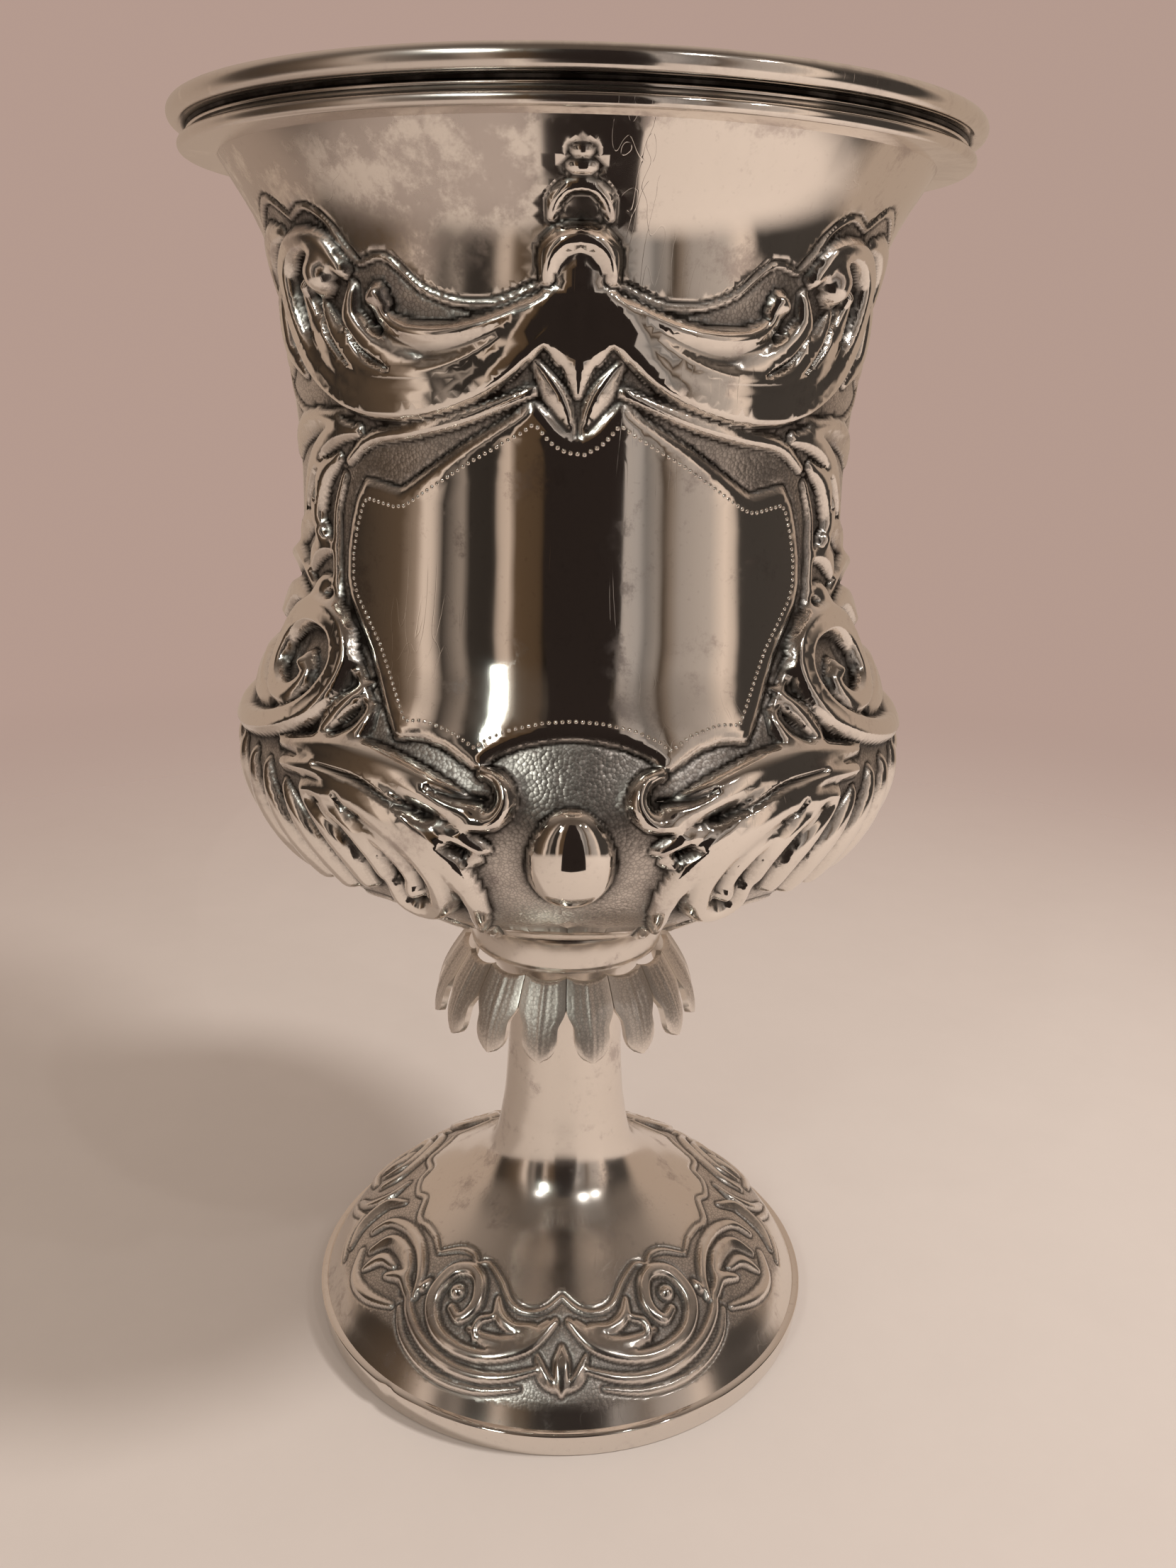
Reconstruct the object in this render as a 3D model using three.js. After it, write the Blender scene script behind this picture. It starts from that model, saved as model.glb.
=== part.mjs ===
// A chased silver goblet: a waisted, round-bellied cup on a short stem, collar of leaves and domed foot.
// Millimetres, +Z up, origin at the middle of the underside of the foot.
// The carving is laid out on a quarter of the turn and mirrored, so the front (-Y) and the back are alike.
import * as THREE from "three";

// Heights of the joints between the pieces
const FOOT_RIM_TOP = 3.5;
const STEM_SEAM = 29.5;
const COLLAR_FOOT = 55;
const BOWL_FOOT = 60.3;
const BOWL_TOP = 149;
const LIP_TOP = 153.7;

// Bowl, outside radii and the heights where they fall
const BOWL_TOP_R = 39.5;
const THROAT = { r: 34.9, z: 140.6 };
const NECK = { r: 32.75, z: 126.5 };
const WAIST = { r: 32.05, z: 115.5 };
const SHOULDER = { r: 33.3, z: 101.5 };
const BELLY_RISE = { r: 37.5, z: 91.8 };
const BELLY = { r: 40.2, z: 84.5 };
const HIP = { r: 35.6, z: 73.6 };
const HEEL = { r: 23.5, z: 65 };
const BOWL_FOOT_R = 13.4;
const BOWL_WALL = 0.9;
const BOWL_FLOOR_R = 12;

// Rim moulding: a rolled lip, and below it a fillet, a cove and a bead set in from its outer edge
const LIP_OVERHANG = 4.9;
const LIP_ROLL = 1.1;
const LIP_ROLL_START = -45;
const LIP_ROLL_END = 180;
const LIP_ROLL_STEPS = 5;
const FILLET_INSET = 0.85;
const COVE_INSET = 1.9;
const COVE_HEIGHT = 1.2;
const BEAD_INSET = 0.85;
const BEAD_HEIGHT = 1;

// Collar and stem
const COLLAR_TOP_R = 14.2;
const COLLAR_WAIST_R = 12.9;
const COLLAR_FOOT_R = 12.7;
const COLLAR_WALL = 1.4;
const STEM_SEAM_R = 8.5;
const STEM_WAIST = { r: 7.8, z: 41.5 };
const STEM_FLARE = { r: 9.2, z: 50.5 };
const STEM_TOP_R = 11.7;
const STEM_WALL = 0.9;

// Ring of leaves round the top of the stem
const LEAVES = 16;
const LEAF_ROOT_R = 13.7;
const LEAF_TIP_R = 17.6;
const LEAF_TIP_Z = 45.2;
const LEAF_THICK = 1;
const LEAF_RIDGE = 0.75;
const LEAF_GAP_REACH = 0.5;
const LEAF_BACK_REACH = 0.5;
const LEAF_ROOT_DROP = 0.6;
const LEAF_CLEARANCE = 0.4;

// Foot
const FOOT_NECK = { r: 10.2, z: 22.8 };
const FOOT_FLARE = { r: 14, z: 19 };
const DOME_TOP = { r: 20, z: 15.1 };
const DOME = { r: 26, z: 11.5 };
const DOME_EDGE = { r: 31, z: 7.5 };
const FOOT_EDGE_R = 33.9;
const FOOT_WALL = 0.9;
const FOOT_EDGE_BAND = 1.1;
const FOOT_RIM_R = 34.8;
const FOOT_RIM_BASE_R = 34.4;
const FOOT_RIM_BAND = 2.6;
const FOOT_RIM_EDGE = 0.3;

// How finely the pieces are cut into faces
const ROUND_SIDES = 32;
const STEM_SIDES = 20;
const LINING_SIDES = 32;
const LINING_BANDS = 10;
const STEM_BANDS = 4;
const CARVED_COLUMN_COUNT = 32;
const BOWL_ROW_COUNT = 64;
const FOOT_ROW_COUNT = 32;
const COARSEST_CELL_COUNT = 32;
const BOWL_TOLERANCE = 0.57;
const FOOT_TOLERANCE = 0.58;
const NARROWEST_HALF_STROKE = 1.7;

const DEGREE = Math.PI / 180;
const QUARTER = 90;

// A wall's outline as a smooth curve through its named radii, with the length measured down it
function wallOutline(stations) {
  const curve = new THREE.CatmullRomCurve3(
    stations.map(({ r, z }) => new THREE.Vector3(r, 0, z)),
    false,
    "centripetal",
  );
  curve.arcLengthDivisions = 400;
  const length = curve.getLength();
  return {
    length,
    at(down) {
      const share = Math.min(1, Math.max(0, down / length));
      const point = curve.getPointAt(share);
      const along = curve.getTangentAt(share);
      return { r: point.x, z: point.z, outR: -along.z, outZ: along.x };
    },
  };
}

const bowlOutline = wallOutline([
  { r: BOWL_TOP_R, z: BOWL_TOP },
  THROAT,
  NECK,
  WAIST,
  SHOULDER,
  BELLY_RISE,
  BELLY,
  HIP,
  HEEL,
  { r: BOWL_FOOT_R, z: BOWL_FOOT },
]);

const footOutline = wallOutline([
  { r: STEM_SEAM_R, z: STEM_SEAM },
  FOOT_NECK,
  FOOT_FLARE,
  DOME_TOP,
  DOME,
  DOME_EDGE,
  { r: FOOT_EDGE_R, z: FOOT_RIM_TOP },
]);

const stemOutline = wallOutline([
  { r: STEM_TOP_R, z: COLLAR_FOOT },
  STEM_FLARE,
  STEM_WAIST,
  { r: STEM_SEAM_R, z: STEM_SEAM },
]);

// Carving. A place is [degrees from the middle of the front, millimetres down the wall].
// It is drawn on walls of these lengths and stretches with them.
const BOWL_DRAWN = 105.5;
const FOOT_DRAWN = 37.9;

// A raised stroke: the places its crest passes, its half widths at start, middle and end, and its height
const stroke = (places, halfWidths, height) => ({ places, halfWidths, height });

// A stroke that curls round a centre, from one radius and bearing to another
function curl(centre, radii, bearings, halfWidths, height, degreesPerMm) {
  const steps = Math.ceil(Math.abs(bearings[1] - bearings[0]) / 40);
  const places = Array.from({ length: steps + 1 }, (_, i) => {
    const bearing = (bearings[0] + ((bearings[1] - bearings[0]) * i) / steps) * DEGREE;
    const radius = radii[0] + ((radii[1] - radii[0]) * i) / steps;
    const across = radius * Math.cos(bearing) * degreesPerMm;
    return [centre[0] + across, centre[1] - radius * Math.sin(bearing)];
  });
  return stroke(places, halfWidths, height);
}

// Strokes that spread from one line of roots to a line of tips
function fan(count, roots, tips, bow, halfWidths, height) {
  const between = (pair, t) => pair[0].map((v, k) => v + (pair[1][k] - v) * t);
  return Array.from({ length: count }, (_, i) => {
    const from = between(roots, i / (count - 1));
    const to = between(tips, i / (count - 1));
    const middle = [(from[0] + to[0]) / 2 + bow[0], (from[1] + to[1]) / 2 + bow[1]];
    return stroke([from, middle, to], halfWidths, height);
  });
}

const boss = (place, halfSize, height) => ({ place, halfSize, height });

const bowlCarving = {
  drawn: BOWL_DRAWN,
  strokes: [
    // Hood and husk of the pendant under the rim
    stroke([[0, 9.4], [3.4, 10.4], [4.8, 13.4]], [1.1, 1.1, 0.9], 1.4),
    stroke([[0, 12], [0, 18], [0, 24.3]], [1.4, 2.2, 0.6], 1.5),
    // Contour of the upper leaf work
    stroke([[6, 15], [16, 16.5], [25, 15.4], [33, 11.6]], [0.8, 0.9, 0.8], 0.7),
    stroke([[33, 11.6], [41, 10.2], [48, 7.6], [60, 6.6], [70, 9.4], [75, 19]], [0.8, 1, 0.7], 0.9),
    // Great swag scroll with its curled head, and the leaf that lines it
    stroke(
      [[4, 16.5], [12, 21.4], [22, 24.2], [35, 25], [45, 23.5], [53, 20.2], [57, 16], [55, 12.2], [50, 11]],
      [1.2, 2.1, 1.2],
      2.1,
    ),
    stroke([[12, 18.4], [25, 20.8], [33, 20], [37, 16.6]], [0.8, 1.6, 0.8], 1.3),
    stroke([[62, 11], [67, 14.5], [66, 20], [58, 25]], [0.8, 1.3, 0.7], 1.2),
    // The shield's edge
    stroke([[0, 28.6], [7.5, 25.7], [20, 28.3], [31, 31.8], [42.4, 33.2]], [0.9, 1, 0.9], 1),
    stroke([[42.4, 33.2], [47, 38.6], [46.6, 45], [37, 52], [28.5, 59.4]], [0.9, 1, 0.9], 1),
    stroke([[28.5, 59.4], [14.5, 61.2], [0, 58.1]], [0.8, 1, 0.8], 1),
    // Side leaves
    ...fan(2, [[47, 30], [52, 38]], [[77, 30.5], [66, 43.5]], [3, -1], [1, 1.8, 0.7], 1.5),
    // Belly volute and its outer band
    curl([56, 55.2], [7.2, 3.4], [255, -130], [1.5, 1.8, 1], 2, 1.6),
    stroke([[86, 63.8], [70, 63.5], [56, 62.2], [48, 60]], [1, 1.9, 1], 1.7),
    stroke([[68, 50.5], [78, 50.5], [89, 56]], [1, 1.7, 1.2], 1.5),
    // Upper leaf of the lower work, curling over beside the oval boss
    stroke([[46, 61.6], [28, 62.6], [14, 65.6], [8.6, 63.4]], [0.8, 1.5, 0.8], 1.5),
    // Great lower leaf and the leaf that curls inside it
    stroke([[49, 65.6], [35, 65.6], [22, 69.2], [15.6, 75.5], [17, 86]], [1, 1.9, 0.7], 2),
    stroke([[36, 69.2], [24, 72.6], [22.6, 79.4], [29, 80.8]], [0.8, 1.7, 1.1], 1.6),
    ...fan(3, [[52, 66.4], [86, 66]], [[46, 77.5], [87, 80]], [1.5, 0.4], [1, 2.4, 0.8], 1.4),
  ],
  bosses: [
    boss([0, 5.8], [2, 2.2], 0.9),
    boss([0, 71.3], [4.6, 6.2], 2.3),
    boss([47.2, 13.6], [2.1, 2.5], 1.9),
    boss([56.5, 55.2], [2, 2], 1.7),
  ],
};

const footCarving = {
  drawn: FOOT_DRAWN,
  strokes: [
    // Bud between the front scrolls
    stroke([[0, 28.9], [0, 30.8], [0, 33.6]], [0.8, 1.6, 0.6], 1.3),
    // Contour round the top of the work
    stroke([[0, 22], [8, 24.2], [16, 23.7], [22, 21.1], [29, 19.6], [43, 19.6]], [0.7, 0.8, 0.7], 0.7),
    stroke([[43, 19.6], [50, 21.4], [63, 20.4], [80, 19.6], [90, 20.5]], [0.7, 0.8, 0.7], 0.7),
    // Front scroll with its swag and outer band
    stroke(
      [[2, 25.3], [10, 29], [22, 30.8], [34, 29.6], [40.6, 26], [38, 21.8], [31, 21.4], [27, 24.6]],
      [0.8, 1.4, 0.8],
      1.5,
    ),
    stroke([[6, 31], [20, 33.2], [36, 31.9], [48, 28]], [0.7, 1, 0.7], 0.9),
    // Shell scroll at the side
    stroke([[47, 27.8], [52, 24], [62, 22.5], [73, 23.6], [79, 27.6]], [0.8, 1.3, 0.8], 1.2),
    stroke([[52, 30.4], [62, 32], [74, 30.4]], [0.7, 1.1, 0.7], 1),
    stroke([[84, 22.6], [88, 25.6], [85, 29.6], [79, 32]], [0.7, 1.2, 0.7], 1),
  ],
  bosses: [boss([34, 24.4], [1.5, 1.5], 1.4), boss([61, 26], [1.6, 1.6], 1.1)],
};

// The shortest way from a place to a line of places, in millimetres, and how far along the line it falls
function nearest(line, angle, down, mmPerDegree) {
  let distance = Infinity;
  let share = 0;
  for (let i = 0; i + 1 < line.length; i++) {
    const ax = (line[i][0] - angle) * mmPerDegree;
    const ay = line[i][1] - down;
    const bx = (line[i + 1][0] - line[i][0]) * mmPerDegree;
    const by = line[i + 1][1] - line[i][1];
    const t = THREE.MathUtils.clamp(-(ax * bx + ay * by) / (bx * bx + by * by), 0, 1);
    const away = Math.hypot(ax + bx * t, ay + by * t);
    if (away < distance) {
      distance = away;
      share = (i + t) / (line.length - 1);
    }
  }
  return { distance, share };
}

function smoothLine(places) {
  const curve = new THREE.SplineCurve(places.map(([x, y]) => new THREE.Vector2(x, y)));
  return curve.getPoints((places.length - 1) * 4).map(({ x, y }) => [x, y]);
}

// The carving's height above its wall, as a function of degrees from the front and millimetres down
function carvedHeight({ drawn, strokes, bosses }, outline) {
  const stretch = drawn / outline.length;
  const lines = strokes.map((s) => ({ ...s, line: smoothLine(s.places) }));
  return (angle, depth) => {
    const down = depth * stretch;
    const mmPerDegree = outline.at(depth).r * DEGREE * stretch;
    const ridges = lines.map(({ line, halfWidths, height }) => {
      const { distance, share } = nearest(line, angle, down, mmPerDegree);
      const end = halfWidths[share < 0.5 ? 0 : 2];
      const half = end + (halfWidths[1] - end) * Math.sin(Math.PI * share);
      const reach = Math.max(half, NARROWEST_HALF_STROKE);
      const crest = (height * half) / Math.max(...halfWidths);
      return distance < reach ? crest * (1 - (distance / reach) ** 2) : 0;
    });
    const domes = bosses.map(({ place, halfSize, height }) => {
      const across = ((angle - place[0]) * mmPerDegree) / halfSize[0];
      const along = (down - place[1]) / halfSize[1];
      return height * Math.sqrt(Math.max(0, 1 - across ** 2 - along ** 2));
    });
    return Math.max(0, ...ridges, ...domes);
  };
}

// A skin being sewn: points, and triangles that face outwards
class Skin {
  points = [];
  faces = [];

  point(angle, r, z) {
    this.points.push(new THREE.Vector3(r * Math.sin(angle * DEGREE), -r * Math.cos(angle * DEGREE), z));
    return this.points.length - 1;
  }

  // A level ring of points, each kept with its angle
  ring(r, z, sides) {
    return Array.from({ length: sides }, (_, i) => {
      const angle = (360 * i) / sides;
      return { angle, id: this.point(angle, r, z) };
    });
  }

  // Sews a strip between two rings of any numbers of points; the upper is the one above, seen from outside
  sew(upper, lower) {
    const angleOf = (ring, k) => (k < ring.length ? ring[k].angle : 360);
    const idOf = (ring, k) => ring[k % ring.length].id;
    let i = 0;
    let j = 0;
    while (i < upper.length || j < lower.length) {
      const upperTurn = i < upper.length ? angleOf(upper, i + 1) : Infinity;
      const lowerTurn = j < lower.length ? angleOf(lower, j + 1) : Infinity;
      if (upperTurn < lowerTurn) {
        this.faces.push([idOf(upper, i), idOf(lower, j), idOf(upper, i + 1)]);
        i++;
      } else {
        this.faces.push([idOf(upper, i), idOf(lower, j), idOf(lower, j + 1)]);
        j++;
      }
    }
  }

  cap(ring, z, facesUp) {
    const middle = this.point(0, 0, z);
    ring.forEach(({ id }, i) => {
      const next = ring[(i + 1) % ring.length].id;
      this.faces.push(facesUp ? [id, next, middle] : [next, id, middle]);
    });
  }

  geometry() {
    return geometryFrom(this.points, this.faces);
  }
}

function geometryFrom(points, faces) {
  const geometry = new THREE.BufferGeometry();
  geometry.setAttribute("position", new THREE.Float32BufferAttribute(points.flatMap((p) => p.toArray()), 3));
  geometry.setIndex(faces.flat());
  geometry.computeVertexNormals();
  return geometry;
}

// Cuts a grid into few large triangles where the surface is plain and many small ones where it is carved.
// A cell is split where its halfway point stands off the line between the ends by more than the tolerance.
function carvedTriangles(xyz, rows, tolerance) {
  const columns = CARVED_COLUMN_COUNT;
  const coarsest = COARSEST_CELL_COUNT;
  const at = (i, j) => j * (columns + 1) + i;
  const error = new Float64Array(xyz.length);
  const raise = (i, j, value) => {
    if (i >= 0 && j >= 0 && i <= columns && j <= rows) error[at(i, j)] = Math.max(error[at(i, j)], value);
  };
  const bend = (i, j, di, dj) => {
    const middle = xyz[at(i - di, j - dj)].clone().add(xyz[at(i + di, j + dj)]).divideScalar(2);
    return xyz[at(i, j)].distanceTo(middle);
  };
  const leansRight = (i, j, size) => Math.floor(i / size) % 2 === Math.floor(j / size) % 2;
  for (let size = 2; size <= coarsest; size *= 2) {
    const half = size / 2;
    for (let j = 0; j <= rows; j += half) {
      for (let i = 0; i <= columns; i += half) {
        const onRow = j % size === 0;
        if (onRow === (i % size === 0)) continue;
        const [di, dj] = onRow ? [half, 0] : [0, half];
        raise(i, j, bend(i, j, di, dj));
        raise(i - dj, j - di, error[at(i, j)]);
        raise(i + dj, j + di, error[at(i, j)]);
      }
    }
    for (let j = half; j < rows; j += size) {
      for (let i = half; i < columns; i += size) {
        const lean = leansRight(i, j, size) ? half : -half;
        raise(i, j, bend(i, j, half, lean));
        raise(i + half, j - lean, error[at(i, j)]);
        raise(i - half, j + lean, error[at(i, j)]);
      }
    }
  }

  const triangles = [];
  const split = (a, b, c) => {
    const middle = [(a[0] + b[0]) / 2, (a[1] + b[1]) / 2];
    if (middle.every(Number.isInteger) && error[at(...middle)] > tolerance) {
      split(c, a, middle);
      split(b, c, middle);
    } else {
      triangles.push([a, b, c]);
    }
  };
  for (let j = 0; j < rows; j += coarsest) {
    for (let i = 0; i < columns; i += coarsest) {
      const corner = (di, dj) => [i + di * coarsest, j + dj * coarsest];
      const [a, b] = leansRight(i, j, coarsest) ? [corner(0, 0), corner(1, 1)] : [corner(1, 0), corner(0, 1)];
      const [c, d] = leansRight(i, j, coarsest) ? [corner(1, 0), corner(0, 1)] : [corner(1, 1), corner(0, 0)];
      split(b, a, c);
      split(a, b, d);
    }
  }
  return triangles;
}

// Sews a carved wall into the skin, one quarter mirrored round, and gives its top and bottom rings
function sewCarvedWall(skin, outline, carving, rows, tolerance) {
  const columns = CARVED_COLUMN_COUNT;
  const height = carvedHeight(carving, outline);
  const quarterSkin = new Skin();
  const places = Array.from({ length: (rows + 1) * (columns + 1) }, (_, k) => {
    const row = Math.floor(k / (columns + 1));
    const angle = (QUARTER * (k % (columns + 1))) / columns;
    const depth = (outline.length * row) / rows;
    const { r, z, outR, outZ } = outline.at(depth);
    const lift = row === 0 || row === rows ? 0 : height(angle, depth);
    const place = { r: r + outR * lift, z: z + outZ * lift };
    quarterSkin.point(angle, place.r, place.z);
    return place;
  });
  const triangles = carvedTriangles(quarterSkin.points, rows, tolerance);
  const ids = new Map();
  const top = [];
  const bottom = [];
  const idOf = ([i, j], quarter) => {
    const turned = quarter % 2 ? (quarter + 1) * columns - i : quarter * columns + i;
    const column = turned % (4 * columns);
    const key = j * 4 * columns + column;
    if (!ids.has(key)) {
      const { r, z } = places[j * (columns + 1) + i];
      const angle = (QUARTER * column) / columns;
      const id = skin.point(angle, r, z);
      ids.set(key, id);
      if (j === 0) top.push({ angle, id });
      if (j === rows) bottom.push({ angle, id });
    }
    return ids.get(key);
  };
  for (let quarter = 0; quarter < 4; quarter++) {
    for (const triangle of triangles) {
      const [a, b, c] = triangle.map((place) => idOf(place, quarter));
      skin.faces.push(quarter % 2 ? [a, b, c] : [a, c, b]);
    }
  }
  const byAngle = (a, b) => a.angle - b.angle;
  return { top: top.sort(byAngle), bottom: bottom.sort(byAngle) };
}

// Sews the smooth lining of a wall from its top ring down, and gives its lowest ring
function sewLining(skin, outline, wall, topZ, topRing) {
  const { r, outR } = outline.at(0);
  let above = skin.ring(r - outR * wall, topZ, LINING_SIDES);
  skin.sew(above, topRing);
  for (let i = 1; i < LINING_BANDS; i++) {
    const wallAt = outline.at((outline.length * i) / LINING_BANDS);
    const below = skin.ring(wallAt.r - wallAt.outR * wall, wallAt.z - wallAt.outZ * wall, LINING_SIDES);
    skin.sew(below, above);
    above = below;
  }
  return above;
}

const silver = (name, geometry, roughness, colour = 0xc9c3b8) => {
  const material = new THREE.MeshStandardMaterial({ color: colour, roughness, metalness: 1 });
  const mesh = new THREE.Mesh(geometry, material);
  mesh.name = name;
  return mesh;
};

// A ring turned from a closed section of [radius, height] corners, listed anticlockwise
function turned(corners, sides) {
  const section = [...corners, corners[0]].map(([r, z]) => new THREE.Vector2(r, z));
  return new THREE.LatheGeometry(section, sides).rotateX(Math.PI / 2);
}

function bowl() {
  const skin = new Skin();
  const outside = sewCarvedWall(skin, bowlOutline, bowlCarving, BOWL_ROW_COUNT, BOWL_TOLERANCE);
  const lining = sewLining(skin, bowlOutline, BOWL_WALL, BOWL_TOP, outside.top);
  const floor = skin.ring(BOWL_FLOOR_R, BOWL_FOOT + BOWL_WALL, LINING_SIDES);
  skin.sew(floor, lining);
  skin.cap(floor, BOWL_FOOT + BOWL_WALL, true);
  skin.cap(outside.bottom, BOWL_FOOT, false);
  return silver("bowl", skin.geometry(), 0.22);
}

function foot() {
  const skin = new Skin();
  const outside = sewCarvedWall(skin, footOutline, footCarving, FOOT_ROW_COUNT, FOOT_TOLERANCE);
  const lining = sewLining(skin, footOutline, FOOT_WALL, STEM_SEAM, outside.top);
  const edge = skin.ring(FOOT_EDGE_R - FOOT_EDGE_BAND, FOOT_RIM_TOP, LINING_SIDES);
  skin.sew(edge, lining);
  skin.sew(outside.bottom, edge);
  return silver("foot", skin.geometry(), 0.25);
}

function rimMoulding() {
  const outer = BOWL_TOP_R + LIP_OVERHANG;
  const beadTop = BOWL_TOP + BEAD_HEIGHT;
  const coveTop = beadTop + COVE_HEIGHT;
  const rollCentre = { r: outer - LIP_ROLL, z: LIP_TOP - LIP_ROLL };
  const roll = Array.from({ length: LIP_ROLL_STEPS + 1 }, (_, i) => {
    const turn = (LIP_ROLL_START + ((LIP_ROLL_END - LIP_ROLL_START) * i) / LIP_ROLL_STEPS) * DEGREE;
    return [rollCentre.r + LIP_ROLL * Math.cos(turn), rollCentre.z + LIP_ROLL * Math.sin(turn)];
  });
  const section = [
    [BOWL_TOP_R - BOWL_WALL, BOWL_TOP],
    [outer - BEAD_INSET, BOWL_TOP],
    [outer - BEAD_INSET, beadTop],
    [outer - COVE_INSET, beadTop],
    [outer - COVE_INSET, coveTop],
    [outer - FILLET_INSET, coveTop],
    [outer - FILLET_INSET, roll[0][1]],
    ...roll,
  ];
  return silver("rim_moulding", turned(section, ROUND_SIDES), 0.2);
}

function collar() {
  const section = [
    [COLLAR_FOOT_R - COLLAR_WALL, COLLAR_FOOT],
    [COLLAR_FOOT_R, COLLAR_FOOT],
    [COLLAR_WAIST_R, (BOWL_FOOT + COLLAR_FOOT) / 2],
    [COLLAR_TOP_R, BOWL_FOOT],
    [COLLAR_TOP_R - COLLAR_WALL, BOWL_FOOT],
  ];
  return silver("collar", turned(section, LINING_SIDES), 0.25);
}

function stem() {
  const outside = Array.from({ length: STEM_BANDS + 1 }, (_, i) => {
    const { r, z } = stemOutline.at(stemOutline.length * (1 - i / STEM_BANDS));
    return [r, z];
  });
  const inside = outside.map(([r, z]) => [r - STEM_WALL, z]).reverse();
  return silver("stem", turned([...outside, ...inside], STEM_SIDES), 0.22);
}

// A skirt of round-tipped leaves, each with a raised rib, hanging from a narrow ring
function leafCalyx() {
  const perLeaf = 4;
  const bands = 2;
  const inner = STEM_TOP_R + LEAF_CLEARANCE;
  const rootZ = COLLAR_FOOT - LEAF_ROOT_DROP;
  const points = [];
  const columns = Array.from({ length: LEAVES * perLeaf }, (_, i) => {
    const angle = (2 * Math.PI * i) / (LEAVES * perLeaf);
    // 0 in the gap between two leaves, 1 on a leaf's rib
    const across = 1 - Math.abs(((i % perLeaf) / perLeaf) * 2 - 1);
    const reach = LEAF_GAP_REACH + (1 - LEAF_GAP_REACH) * Math.sqrt(1 - (1 - across) ** 2);
    const along = (share, lift) => {
      const r = LEAF_ROOT_R + (LEAF_TIP_R - LEAF_ROOT_R) * Math.sin((share * Math.PI) / 2);
      return [Math.max(r + lift, inner), rootZ - (rootZ - LEAF_TIP_Z) * share];
    };
    const rib = LEAF_RIDGE * (1 - (1 - across) ** 2);
    const faceOf = (_row, k) => along((reach * (k + 1)) / bands, k < bands - 1 ? rib : 0);
    const section = [
      [inner, COLLAR_FOOT],
      [LEAF_ROOT_R - LEAF_ROOT_DROP / 2, COLLAR_FOOT],
      along(0, 0),
      ...Array.from({ length: bands }, faceOf),
      along(reach, -LEAF_THICK),
      along(reach * LEAF_BACK_REACH, -LEAF_THICK),
      [inner, rootZ - LEAF_THICK],
    ];
    return section.map(([r, z]) => {
      points.push(new THREE.Vector3(r * Math.sin(angle), -r * Math.cos(angle), z));
      return points.length - 1;
    });
  });
  const faces = columns.flatMap((column, i) => {
    const next = columns[(i + 1) % columns.length];
    return column.flatMap((a, k) => {
      const b = column[(k + 1) % column.length];
      return [[a, b, next[(k + 1) % column.length]], [a, next[(k + 1) % column.length], next[k]]];
    });
  });
  return silver("leaf_calyx", geometryFrom(points, faces), 0.3);
}

function footRim() {
  const inner = FOOT_RIM_BASE_R - FOOT_RIM_BAND;
  const section = [
    [inner, 0],
    [FOOT_RIM_BASE_R, 0],
    [FOOT_RIM_R, FOOT_RIM_TOP - FOOT_RIM_EDGE],
    [FOOT_RIM_R - FOOT_RIM_EDGE, FOOT_RIM_TOP],
    [inner, FOOT_RIM_TOP],
  ];
  return silver("foot_rim", turned(section, ROUND_SIDES), 0.3);
}

const goblet = new THREE.Group();
goblet.add(rimMoulding(), bowl(), collar(), leafCalyx(), stem(), foot(), footRim());

export default goblet;
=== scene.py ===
"""Chased silver goblet, dressed over its construction model.

The cup and the foot are beaten silver: a smooth wall, a drawing of raised strokes laid out on a
quarter of the turn and mirrored round, and a skin that is cut finely where it is carved. Rim,
collar, stem and foot band are turned. The ring of leaves and the punched dots of the two shields
are laid out by Geometry Nodes. Lengths are millimetres until a mesh is made.
"""
import math
from collections import namedtuple

import bpy
import numpy as np
from bpy.props import FloatProperty, FloatVectorProperty, IntProperty, PointerProperty
from mathutils import Matrix, Vector


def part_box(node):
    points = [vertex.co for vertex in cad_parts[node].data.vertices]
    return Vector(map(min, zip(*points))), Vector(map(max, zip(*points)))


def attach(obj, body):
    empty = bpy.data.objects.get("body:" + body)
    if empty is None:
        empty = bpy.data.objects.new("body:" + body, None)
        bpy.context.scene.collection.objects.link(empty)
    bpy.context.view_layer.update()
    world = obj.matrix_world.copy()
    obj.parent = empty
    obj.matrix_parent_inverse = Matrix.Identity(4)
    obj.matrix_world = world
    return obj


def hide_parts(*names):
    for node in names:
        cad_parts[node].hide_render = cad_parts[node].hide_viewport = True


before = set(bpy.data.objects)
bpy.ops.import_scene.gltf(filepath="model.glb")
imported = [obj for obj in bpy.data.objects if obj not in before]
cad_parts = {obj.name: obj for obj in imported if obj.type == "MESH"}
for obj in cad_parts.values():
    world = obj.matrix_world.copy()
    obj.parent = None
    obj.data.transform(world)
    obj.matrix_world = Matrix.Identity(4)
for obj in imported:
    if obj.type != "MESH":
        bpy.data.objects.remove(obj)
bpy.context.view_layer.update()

bl_info = {
    "name": "Chased silver goblet",
    "version": (1, 0, 0),
    "blender": (4, 5, 0),
    "location": "3D View > Sidebar > Goblet",
    "description": "Dresses the goblet's construction model in chased, oxidised silver",
    "category": "Add Mesh",
}

MM = 0.001
DEGREE = math.pi / 180
QUARTER = 90
BODY = "root"


def span(node):
    """Lowest and highest level of a construction node, in millimetres."""
    low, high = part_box(node)
    return low[2] / MM, high[2] / MM


CUP_BOTTOM, CUP_TOP = span("bowl")
COLLAR_BOTTOM, COLLAR_TOP = span("collar")
STEM_BOTTOM, STEM_TOP = span("stem")
FOOT_BOTTOM, FOOT_TOP = span("foot")
BAND_BOTTOM, BAND_TOP = span("foot_rim")
RIM_BOTTOM, RIM_TOP = span("rim_moulding")

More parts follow.
